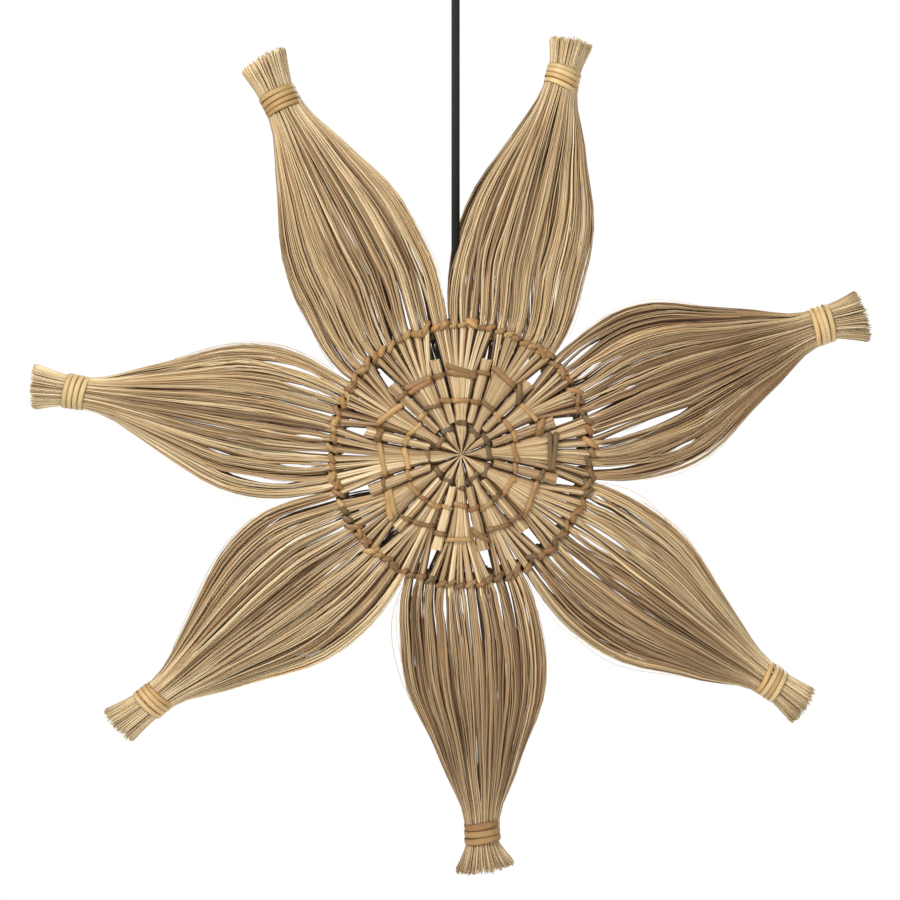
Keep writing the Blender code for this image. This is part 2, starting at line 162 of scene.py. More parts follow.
# How each petal departs from the even taper, in metres: how much wider it is at its waist and at
# its neck on the clockwise and anticlockwise sides, how much longer its brush is, and how far the
# brush leans. Then how full the brush is, how slanted its end and how thick the neck.
Outline = namedtuple("Outline", (
    "waist_clockwise", "waist_anticlockwise", "neck_clockwise", "neck_anticlockwise",
    "longer", "lean", "fuller", "slant", "girth"))
outlines = (
    Outline(0.0030, 0.0000, 0.0052, 0.0040, -0.0002, -0.0020, 1.06, -0.0010, 1.12),
    Outline(0.0016, 0.0000, 0.0064, 0.0003, -0.0010, 0.0008, 1.08, -0.0012, 1.02),
    Outline(-0.0036, -0.0046, 0.0042, 0.0022, 0.0000, -0.0036, 1.10, 0.0008, 1.12),
    Outline(0.0014, -0.0036, 0.0072, 0.0012, 0.0002, -0.0006, 1.16, -0.0008, 1.0),
    Outline(-0.0046, 0.0004, 0.0022, 0.0052, -0.0024, 0.0006, 1.10, -0.0022, 1.04),
    Outline(-0.0014, -0.0022, 0.0021, 0.0044, 0.0001, -0.0012, 1.05, -0.0012, 1.02),
    Outline(-0.0022, -0.0030, 0.0024, 0.0000, -0.0024, 0.0008, 1.05, -0.0018, 1.0),
)
waist_place, waist_reach = 0.42, 0.24
neck_place, neck_reach = 0.78, 0.19

# Stray fibres that show in one place: petal, share of its width at both ends, start, end, bulge
Stray = namedtuple("Stray", "index share_start share_end start end bulge")
chosen_strays = (
    Stray(4, -1.0, -0.9, 0.06, 0.72, 0.0060),
    Stray(2, -0.55, -0.40, 0.10, 0.66, 0.0),
    Stray(2, -0.80, -0.62, 0.18, 0.70, 0.0),
    Stray(3, 1.0, 0.95, 0.02, 0.50, 0.0035),
    Stray(6, 1.0, 0.9, 0.30, 0.95, 0.0030),
    Stray(6, -1.0, -0.95, 0.10, 0.70, 0.0030),
)

# Lashings on the spokes: radius, tone, greatest slant and radius of the hoop behind. Lashings on
# the cut bundles: radius and tone. Then a cut bundle's middle, and the radius beyond which some
# lashings are doubled, with the shares of them that are.
spoke_rows = (
    (0.0197, 0.10, 0.30, 0.0), (0.0381, 0.38, 0.34, inner_hoop_radius),
    (0.0565, 0.36, 0.46, inner_hoop_radius))
spacer_rows = ((0.0381, 0.44), (0.0570, 0.30))
spacer_middle = 0.0475
doubled_beyond = 0.05
spoke_doubled, spacer_doubled = 0.2, 0.6

# Lashings on the ring: slant, slant of a second one across it, share of strands that have one,
# and the key light's direction on the star, towards which painted light makes them palest
ring_slant, second_slant, second_share = -0.56, 0.50, 0.22
painted_light_side = math.radians(125.0)

# Section of a lashing strip, as shares of its width and thickness, and the painted shade and
# highlight on its corners: darker underneath and at the sides, paler on the crown
strip_section = np.array([(-0.5, -0.5), (0.5, -0.5), (0.44, 0.35), (0.0, 0.8), (-0.44, 0.35)])
strip_painted_shade_and_highlight = np.array([-0.30, -0.30, -0.06, 0.06, -0.06])

# Tip ties: tone, number of turns and slant of each, and the strip's thickness
tie_tones = (0.66, 0.80, 0.85, 0.77, 0.50, 0.78, 0.80)
tie_turns = (4, 4, 4, 4, 3, 4, 4)
tie_slants = (-0.03, -0.13, -0.10, 0.12, 0.10, 0.14, -0.08)
tie_thickness = 0.0013

# Colour settings of straw and of flat strip at their places on the scale of tones
straw_scale = (
    (0.0, "shadow_colour"), (0.28, "tan_colour"), (0.60, "straw_colour"), (1.0, "pale_colour"))
strip_scale = (
    (0.0, "olive_colour"), (0.35, "brown_colour"), (0.65, "tan_colour"), (1.0, "pale_colour"))


# Places measured on the frame
def box_middle(node):
    """Middle of a node's box."""
    low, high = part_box(node)
    return (low + high) / 2


def box_size(node):
    """Size of a node's box."""
    low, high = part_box(node)
    return high - low


star_middle = box_middle("front_hoop")
star_x, star_z = star_middle.x, star_middle.z
hoop_depth = -star_middle.y
ring_radius = box_size("front_hoop").x / 2 - hoop_radius
face_depth = hoop_depth + hoop_radius + 0.0003 + half_straw


def vertex_places(mesh):
    """Places of a mesh's vertices, one a row."""
    places = np.empty(len(mesh.vertices) * 3, np.float32)
    mesh.vertices.foreach_get("co", places)
    return places.reshape(-1, 3)


def to_axis(angle, right, up):
    """Distances along and across an axis of the star, from those right of and above its centre."""
    c, s = math.cos(angle), math.sin(angle)
    return right * c + up * s, up * c - right * s


def to_star(angle, along, across):
    """Distances right of and above the star's centre, from those along and across an axis."""
    c, s = math.cos(angle), math.sin(angle)
    return along * c - across * s, along * s + across * c


def node_points(node):
    """Places of a node's vertices: right of, above and in front of the star's centre."""
    places = vertex_places(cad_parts[node].data).astype(float)
    return places[:, 0] - star_x, places[:, 2] - star_z, -places[:, 1]


Petal = namedtuple("Petal", "angle tie tip lower upper clockwise anticlockwise brush")
Spacer = namedtuple("Spacer", "angle start end start_width end_width")
Strand = namedtuple("Strand", "petal share angle pitch")


def measure_petal(number):
    """A petal's axis, its tie and tip, its edges on the ring, and its widths."""
    near = 0.0005
    right, up = ((side.min() + side.max()) / 2 for side in node_points(f"tip_tie_{number}")[:2])
    angle = math.atan2(up, right)
    along, across = to_axis(angle, *node_points(f"front_petal_{number}")[:2])
    on_ring = np.hypot(along, across) < ring_radius + near
    turns = np.arctan2(across[on_ring], along[on_ring])
    edge = strand_gap / 2 / ring_radius
    belly = across[np.abs(along - belly_radius) < near]
    end = across[along > along.max() - near]
    return Petal(
        angle, math.hypot(right, up), along.max(), turns.min() - edge, turns.max() + edge,
        -belly.min(), belly.max(), (end.max() - end.min()) / 2)


def measure_spacer(number):
    """A cut bundle's angle, its two ends' radii and its two widths."""
    right, up = node_points(f"front_spacer_{number}")[:2]
    angle = math.atan2(up.mean(), right.mean())
    along, across = to_axis(angle, right, up)
    middle = along.mean()
    widths = [np.ptp(across[end]) for end in (along < middle, along > middle)]
    return Spacer(angle, along.min(), along.max(), *widths)


def petal_strands(index):
    """A petal's strands in turn: the share of the petal's width and the angle of each on the ring."""
    petal = petals[index]
    width = petal.upper - petal.lower
    shares = [1.0 - (2 * k + 1) / strands_per_petal for k in range(strands_per_petal)]
    return [
        Strand(
            index, share, petal.angle + (petal.lower + width * (share + 1.0) / 2),
            width / strands_per_petal)
        for share in shares]


petals = [measure_petal(number) for number in range(1, petal_count + 1)]
spacers = [measure_spacer(number) for number in range(1, spacer_count + 1)]
strands = [strand for index in range(petal_count) for strand in petal_strands(index)]


# Settings
def count_setting(name, description, default, low, high):
    """A number of fibres."""
    return bpy.props.IntProperty(
        name=name, description=description, default=default, min=low, max=high)


def length_setting(name, description, default):
    """A length in metres."""
    return bpy.props.FloatProperty(
        name=name, description=description, default=default, unit="LENGTH", precision=5)


def colour_setting(name, description, default):
    """A colour."""
    return bpy.props.FloatVectorProperty(
        name=name, description=description, default=default, subtype="COLOR", size=3, min=0.0,
        max=1.0)


def light_setting(name, description, default):
    """The strength or power of a light."""
    return bpy.props.FloatProperty(name=name, description=description, default=default, min=0.0)


class StrawSettings(bpy.types.PropertyGroup):
    """Straw fibres."""

    petal_fibres: count_setting(
        "Fibres in a strand", "Fibres in each of a petal's twelve strands", 36, 4, 80)
    back_fibres: count_setting(
        "Fibres in a back strand", "Fibres in each strand of the back face's petals", 30, 4, 80)
    spoke_fibres: count_setting(
        "Fibres in a spoke's strand", "Broad stems in each strand of a spoke", 9, 3, 40)
    spacer_fibres: count_setting(
        "Fibres in a cut bundle", "Broad stems in each short cut bundle", 32, 6, 80)
    fine: length_setting("Fine fibre", "Thickness of a petal's fibre", 0.00096)
    broad: length_setting(
        "Broad stem", "Thickness of a stem in the spokes and cut bundles", 0.00130)
    wave: length_setting("Wave", "How far a fibre wanders sideways in a petal", 0.0007)
    strays: count_setting(
        "Stray fibres", "Single fibres that stand off each layer of a petal", 9, 0, 60)
    stray: length_setting("Stray fibre", "Thickness of a stray fibre", 0.00034)
    shadow_colour: colour_setting(
        "Darkest straw", "Colour of the darkest fibres", (0.105, 0.057, 0.026))
    tan_colour: colour_setting("Tan straw", "Colour of the tan fibres", (0.290, 0.184, 0.093))
    straw_colour: colour_setting("Straw", "Colour of most fibres", (0.460, 0.334, 0.182))
    pale_colour: colour_setting(
        "Palest straw", "Colour of the palest fibres", (0.730, 0.600, 0.382))


class LashingSettings(bpy.types.PropertyGroup):
    """Flat strips that lash the strands to the hoops, and the hoops' cane."""

    width: length_setting("Strip width", "Width of the flat lashing strip", 0.0037)
    thickness: length_setting("Strip thickness", "Thickness of the flat lashing strip", 0.0013)
    olive_colour: colour_setting(
        "Olive strip", "Colour of the darkest lashings", (0.088, 0.058, 0.024))
    brown_colour: colour_setting(
        "Brown strip", "Colour of the reddish brown lashings", (0.235, 0.120, 0.043))
    tan_colour: colour_setting("Tan strip", "Colour of the tan lashings", (0.375, 0.240, 0.094))
    pale_colour: colour_setting("Pale strip", "Colour of the palest ties", (0.600, 0.460, 0.250))
    cane_colour: colour_setting("Cane", "Colour of the hoops", (0.060, 0.036, 0.020))


class HangingSettings(bpy.types.PropertyGroup):
    """Cord, lamp holder, bracket and ceiling fitting."""

    braid_pitch: length_setting(
        "Braid pitch", "Length along the cord of one turn of its braid's threads", 0.0045)
    black: colour_setting(
        "Black", "Colour of the moulded parts and the metal", (0.012, 0.012, 0.013))
    cloth_black: colour_setting(
        "Cord black", "Colour of the cord's threads", (0.010, 0.0105, 0.009))


class StageSettings(bpy.types.PropertyGroup):
    """Camera, lights and floor."""

    camera_distance: length_setting(
        "Camera distance", "Distance of the camera from the star's middle plane", 1.4)
    frame_width: length_setting(
        "Picture width", "Width that the picture shows at the star's middle plane", 0.6444)
    camera_left: length_setting(
        "Camera left of star", "How far the camera stands left of the star's centre", 0.0079)
    camera_up: length_setting(
        "Camera above star", "How far the camera stands above the star's centre", 0.0032)
    floor_height: length_setting("Floor", "Height of the floor, below the ceiling", -1.25)
    floor_size: length_setting("Floor size", "Width of the square floor", 4.8)
    surround: light_setting("Surround", "Strength of the soft light from all round", 0.38)
    key: light_setting("Key light", "Power of the soft light at the top left", 55.0)


# Materials
class Nodes:
    """A new material and short ways to add nodes to it."""

    def __init__(self, name):
        self.material = bpy.data.materials.new(name)
        self.material.use_nodes = True
        self.tree = self.material.node_tree
        self.shader = self.tree.nodes["Principled BSDF"]

    def feed(self, node, inputs):
        """Set a node's inputs to plain values, or link them to other nodes' outputs."""
        for name, value in inputs.items():
            if isinstance(value, bpy.types.NodeSocket):
                self.tree.links.new(value, node.inputs[name])
            else:
                node.inputs[name].default_value = value

    def surface(self, **inputs):
        """Feed the shader, whose inputs are named here with underscores for spaces."""
        self.feed(self.shader, {name.replace("_", " "): value for name, value in inputs.items()})

    def add(self, kind, output, inputs, **values):
        """The output of a new node."""
        node = self.tree.nodes.new(kind)
        for name, value in values.items():
            setattr(node, name, value)
        self.feed(node, inputs)
        return node.outputs[output]

    def math(self, operation, first, second):
        return self.add("ShaderNodeMath", 0, {0: first, 1: second}, operation=operation)

    def noise(self, place, stretch, detail):
        stretched = self.add("ShaderNodeMapping", "Vector", {"Scale": stretch, "Vector": place})
        return self.add(
            "ShaderNodeTexNoise", "Fac", {"Scale": 1.0, "Detail": detail, "Vector": stretched})

    def ramp(self, value, stops):
        colour = self.add("ShaderNodeValToRGB", "Color", {"Fac": value})
        elements = colour.node.color_ramp.elements
        while len(elements) < len(stops):
            elements.new(0.5)
        for element, (place, shade) in zip(elements, stops):
            element.position = place
            element.color = (*shade, 1.0)
        return colour

    def bump(self, height, strength, distance):
        inputs = {"Strength": strength, "Distance": distance, "Height": height}
        self.surface(Normal=self.add("ShaderNodeBump", "Normal", inputs))

    def spread(self, value, low, high):
        inputs = {"To Min": low, "To Max": high, "Value": value}
        return self.add("ShaderNodeMapRange", "Result", inputs)

    def shade(self, colour, amount):
        return self.add(
            "ShaderNodeMix", "Result", {"Factor": 1.0, "A": colour, "B": amount},
            data_type="RGBA", blend_type="MULTIPLY")


def object_place(nodes):
    """Place on the object, for patterns that aren't laid along fibres."""
    return nodes.add("ShaderNodeTexCoord", "Object", {})


def fibre_material(name, settings, scale, roughness, streak):
    """Dry plant fibre that follows each fibre's tone, with streaks, specks and warmer parts."""
    nodes = Nodes(name)
    place = nodes.add("ShaderNodeUVMap", "UV", {}, uv_map="along")
    streaks = nodes.noise(place, (14.0, 130.0, 1.0), 3.0)
    specks = nodes.noise(place, (160.0, 220.0, 1.0), 2.0)
    warmth = nodes.noise(place, (6.0, 3.0, 1.0), 1.0)
    own_tone = nodes.add("ShaderNodeAttribute", "Fac", {}, attribute_name="tone")
    tone = nodes.math("ADD", own_tone, nodes.spread(streaks, -streak, streak))
    colour = nodes.ramp(tone, [(place, getattr(settings, key)) for place, key in scale])
    dark_specks = ((0.30, (0.80, 0.77, 0.72)), (0.46, (1.0, 1.0, 1.0)))
    warm_parts = (
        (0.34, (1.0, 0.86, 0.72)), (0.48, (1.0, 0.985, 0.96)), (0.66, (0.97, 1.0, 0.98)))
    for pattern, stops in ((specks, dark_specks), (warmth, warm_parts)):
        colour = nodes.shade(colour, nodes.ramp(pattern, stops))
    nodes.surface(
        Base_Color=colour, Specular_IOR_Level=0.35,
        Roughness=nodes.spread(streaks, roughness - 0.12, roughness + 0.12))
    nodes.bump(nodes.math("ADD", streaks, specks), 0.35, 0.0002)
    return nodes.material


def cane_material(settings):
    """Dark brown cane of the hoops, with fine grain round the hoop."""
    nodes = Nodes("dark_cane")
    grain = nodes.noise(object_place(nodes), (300.0, 900.0, 300.0), 4.0)
    light = tuple(2.4 * value for value in settings.cane_colour)
    nodes.surface(
        Base_Color=nodes.ramp(grain, ((0.30, settings.cane_colour), (0.75, light))),
        Roughness=0.55, Specular_IOR_Level=0.35)
    nodes.bump(grain, 0.3, 0.0002)
    return nodes.material


def moulded_material(name, colour, roughness):
    """Black moulding with a very fine grain."""
    nodes = Nodes(name)
    place = object_place(nodes)
    grain = nodes.noise(place, (2600.0, 2600.0, 2600.0), 2.0)
    cloud = nodes.noise(place, (90.0, 90.0, 90.0), 3.0)
    light = tuple(1.9 * value + 0.004 for value in colour)
    nodes.surface(
        Base_Color=nodes.ramp(cloud, ((0.35, colour), (0.75, light))),
        Roughness=nodes.spread(cloud, roughness - 0.08, roughness + 0.08))
    nodes.bump(grain, 0.15, 0.0001)
    return nodes.material


def braid_material(settings):
    """Cloth covered cord: two sets of threads that cross, read from the cord's own height."""
    nodes = Nodes("black_braid")
    place = object_place(nodes)
    x, y, z = (nodes.add("ShaderNodeSeparateXYZ", axis, {"Vector": place}) for axis in "XYZ")
    threads = 8.0
    around = nodes.math("MULTIPLY", nodes.math("ARCTAN2", y, x), threads)
    rise = nodes.math("MULTIPLY", z, math.tau * 2.0 / settings.braid_pitch)
    left, right = (
        nodes.math("SINE", nodes.math(way, around, rise), 0.0) for way in ("ADD", "SUBTRACT"))
    weave = nodes.math("MULTIPLY", left, right)
    # Painted shade and highlight: the low parts of the weave are darker and the raised parts lighter
    dark, light = (
        tuple(factor * value for value in settings.cloth_black) for factor in (0.45, 3.0))
    nodes.surface(
        Base_Color=nodes.ramp(nodes.spread(weave, 0.0, 1.0), ((0.1, dark), (0.9, light))),
        Roughness=0.85, Specular_IOR_Level=0.3, Sheen_Weight=0.05)
    nodes.bump(weave, 0.6, 0.0003)
    return nodes.material


# Meshes
def finish_piece(obj, material, replaced=()):
    """Give a piece its material and body, and hide the solids it stands for."""
    obj.data.materials.clear()
    obj.data.materials.append(material)
    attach(obj, body)
    if replaced:
        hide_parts(*replaced)
    return obj


def deselect():
    """Leave object mode with nothing selected."""
    if bpy.context.object and bpy.context.object.mode != "OBJECT":
        bpy.ops.object.mode_set(mode="OBJECT")
    bpy.ops.object.select_all(action="DESELECT")


def apply_all(obj):
    """Apply an object's modifiers and its place."""
    deselect()
    obj.select_set(True)
    bpy.context.view_layer.objects.active = obj
    for modifier in list(obj.modifiers):
        bpy.ops.object.modifier_apply(modifier=modifier.name)
    bpy.ops.object.transform_apply(location=True, rotation=True, scale=True)


def add_tones(mesh, tone):
    """Give a mesh the tone that the fibre materials read, one value for each vertex."""
    tones = mesh.attributes.new("tone", "FLOAT", "POINT")
    tones.data.foreach_set("value", tone.astype(np.float32).ravel())


def add_along(mesh, corners, along):
    """Give a mesh the map of places along its fibres, from the vertex at each corner."""
    place = mesh.uv_layers.new(name="along")
    place.data.foreach_set("uv", along[corners].astype(np.float32).ravel())


def unit(vectors):
    """Vectors of length one."""
    return vectors / np.maximum(np.linalg.norm(vectors, axis=-1, keepdims=True), 1e-12)


def signed_power(value, power):
    """A power of a value's size, with the value's sign."""
    return np.sign(value) * np.abs(value) ** power


def sweep(paths, side, section, closed=False):
    """Points and faces of one section run along many paths.

    paths is (n, stations, 3). side is the section's own across direction, and the section's
    points are (n, stations, corners, 2), counted anticlockwise along the path. Both may have
    one station that stands for all.
    """
    if closed:
        run = np.roll(paths, -1, axis=1) - np.roll(paths, 1, axis=1)
    else:
        run = np.gradient(paths, axis=1)
    run = unit(run)
    side = unit(side - np.sum(side * run, -1, keepdims=True) * run)
    out = np.cross(run, side)
    points = (
        paths[:, :, None] + section[..., :1] * side[:, :, None]
        + section[..., 1:] * out[:, :, None])
    numbers = np.arange(points.size // 3).reshape(points.shape[:3])
    if closed:
        after = np.roll(numbers, -1, axis=1)
    else:
        numbers, after = numbers[:, :-1], numbers[:, 1:]
    quads = np.stack(
        [numbers, np.roll(numbers, -1, axis=2), np.roll(after, -1, axis=2), after], -1)
    parts = [quads.reshape(-1, 4)]
    if not closed:
        parts += [numbers[:, 0, ::-1], after[:, -1]]
    return points.reshape(-1, 3), parts


def run_along(paths, rng):
    """Distance along each path from its start, with a random start for each path."""
    length = np.linalg.norm(np.diff(paths, axis=1), axis=-1)
    run = np.concatenate([np.zeros((len(paths), 1)), np.cumsum(length, 1)], 1)
    return run + rng.uniform(0, 9, (len(paths), 1))


def mesh_piece(name, points, parts, tone, run, around, smooth=False):
    """A mesh object from arrays, with each point's tone and its place along and round its fibre."""
    mesh = bpy.data.meshes.new(name)
    mesh.vertices.add(len(points))
    mesh.vertices.foreach_set("co", points.astype(np.float32).ravel())
    loops = np.concatenate([part.ravel() for part in parts]).astype(np.int32)
    sizes = np.concatenate([np.full(len(part), part.shape[1]) for part in parts])
    mesh.loops.add(len(loops))
    mesh.loops.foreach_set("vertex_index", loops)
    mesh.polygons.add(len(sizes))
    starts = np.concatenate([[0], np.cumsum(sizes)[:-1]])
    mesh.polygons.foreach_set("loop_start", starts.astype(np.int32))
    mesh.polygons.foreach_set("use_smooth", np.full(len(sizes), smooth))
    mesh.update(calc_edges=True)
    add_tones(mesh, tone)
    along = np.stack(np.broadcast_arrays(run[:, :, None], around), -1)
    add_along(mesh, loops, along.reshape(-1, 2))
    mesh.validate()
    obj = bpy.data.objects.new(name, mesh)
    bpy.context.scene.collection.objects.link(obj)
    return obj


def fibre_piece(name, rng, paths, radius, tone, group=None, smooth=False):
    """Closed three-sided prisms along many paths, each with its own turn and tone.

    Fibres of one group lie side by side on the along map, so that they share its slow changes.
    """
    count = len(paths)
    angles = rng.uniform(0.0, math.tau, (count, 1, 1)) + np.arange(3) * math.tau / 3
    section = np.stack([np.cos(angles), np.sin(angles)], -1) * radius[:, :, None, None]
    side = np.cross(np.gradient(paths, axis=1), (0.0, 1.0, 0.0))
    points, parts = sweep(paths, side, section)
    run = run_along(paths, rng)
    if group is None:
        group = np.arange(count)
    shared = rng.uniform(0.0, 40.0, group.max() + 1)[group] + rng.uniform(0.0, 0.12, count)
    around = shared[:, None, None] + np.arange(3) * 0.012
    return mesh_piece(
        name, points, parts, np.repeat(tone[:, :, None], 3, 2), run, around, smooth)


def in_world(right, up, forward):
    """World places from distances right of, above and in front of the star's centre."""
    return np.stack(np.broadcast_arrays(star_x + right, -forward, star_z + up), -1)


def stacked(columns):
    """Three arrays of fibres by stations, from three columns for each station."""
    return (np.stack(column, 1) for column in zip(*columns))


def blend(start, end, share):
    """Value at a share of the way from start to end."""
    return start + (end - start) * share


def smooth_step(value, low, high):
    """0 below low, 1 above high, smooth between."""
    x = np.clip((value - low) / (high - low), 0.0, 1.0)
    return x * x * (3.0 - 2.0 * x)


# Straw
def disc_height(radius):
    """Distance of the straw's middle from the middle plane, inside the ring."""
    return face_depth + disc_dome * (1.0 - (radius / ring_radius) ** 2)


def taper(x):
    """Share of a petal's fullness left between its belly, 0, and its neck, 1."""
    y = np.clip(x, 0.0, 1.0) ** taper_power
    return 1.0 - 3 * y ** 2 + 2 * y ** 3


def outline_shift(outline, share, x):
    """How far a fibre at a share of a petal's width leaves the even taper, belly 0 to neck 1."""
    high = share > 0.0
    waist = np.where(high, outline.waist_anticlockwise, outline.waist_clockwise)
    neck = np.where(high, outline.neck_anticlockwise, outline.neck_clockwise)
    at_waist = np.exp(-((x - waist_place) / waist_reach) ** 2)
    at_neck = np.exp(-((x - neck_place) / neck_reach) ** 2)
    return share * (waist * at_waist + neck * at_neck)


def along_strand(petal, on_ring, on_belly, x):
    """Distance along a petal and across it, at a share x of the way from ring to belly."""
    turn = blend(petal.lower, petal.upper, (on_ring + 1.0) / 2)
    mean = (petal.anticlockwise + petal.clockwise) / 2
    lean = (petal.anticlockwise - petal.clockwise) / 2
    belly = mean * on_belly + lean * on_belly ** 2
    start = ring_radius * np.cos(turn)
    leave = (x ** 3 - 2 * x ** 2 + x) * (belly_radius - start) * np.tan(turn)
    across = (2 * x ** 3 - 3 * x ** 2 + 1) * ring_radius * np.sin(turn) + leave
    return blend(start, belly_radius, x), across + (3 * x ** 2 - 2 * x ** 3) * belly


def open_slits(right, up, side):
    """Push fibres apart along the slits, so that both faces part on one line from the camera."""
    stage = bpy.context.scene.straw_star_stage
    middle = np.array([-stage.camera_left, stage.camera_up])
    closer = (stage.camera_distance - side * face_depth) / stage.camera_distance
    for slit in slits:
        start, end = (middle + (np.array(place) - middle) * closer for place in slit[:2])
        length = np.linalg.norm(end - start)
        run = (end - start) / length
        t = ((right - start[0]) * run[0] + (up - start[1]) * run[1]) / length
        q = (up - start[1]) * run[0] - (right - start[0]) * run[1]
        halfway = np.argmin(np.abs(t - 0.5), axis=1)
        turn = np.where(q[np.arange(len(q)), halfway] < 0.0, -1.0, 1.0)[:, None]
        width = slit.half_width * np.sin(math.pi * np.clip(t, 0.0, 1.0)) ** 0.6
        crossed = np.where(turn * q < 0.0, q * width / slit.half_width, 0.0)
        shift = (turn * width - crossed) * np.exp(-np.abs(q) / slit_fall)
        right = right - run[1] * shift
        up = up + run[0] * shift
    return right, up


def close_gaps(right, up):
    """Pull the back face's strands together over some of the gaps beyond the cut bundles."""
    radius = np.hypot(right, up)
    inner, outer = smooth_step(radius, 0.060, 0.070), smooth_step(radius, 0.084, 0.096)
    width = crossed_width * inner * (1.0 - outer)
    for angle in crossed_gaps:
        along, q = to_axis(angle, right, up)
        pull = np.minimum(width * np.exp(-np.abs(q) / crossed_fall), np.abs(q) * 0.85) * (along > 0.0)
        right = right + math.sin(angle) * np.sign(q) * pull
        up = up - math.cos(angle) * np.sign(q) * pull
    return right, up


def open_gaps(across, on_belly, rng):
    """Part the fibres of one layer along a few lens-shaped gaps of its own."""
    last = across.shape[1] - 1
    v = np.arange(last + 1) / last
    order = np.argsort(on_belly)
    for _ in range(gaps_per_layer):
        line = across[order[int(rng.uniform(0.06, 0.94) * len(order))]]
        start = rng.uniform(0.06, 0.5)
        end = start + rng.uniform(0.16, 0.34)
        lens = np.sin(math.pi * np.clip((v - start) / (end - start), 0.0, 1.0)) ** 0.7
        q = across - line
        turn = np.where(q[:, int((start + end) / 2 * last)] < 0.0, -1.0, 1.0)[:, None]
        across = across + turn * rng.uniform(0.0005, 0.0013) * lens * np.exp(-np.abs(q) / gap_fall)
    return across


def strand_shifts(side):
    """How far each strand is off its even place on the ring, as a share of its pitch."""
    rng = np.random.default_rng([7, int(side > 0)])
    return np.clip(rng.normal(0.0, 0.085, len(strands)), -0.15, 0.15)


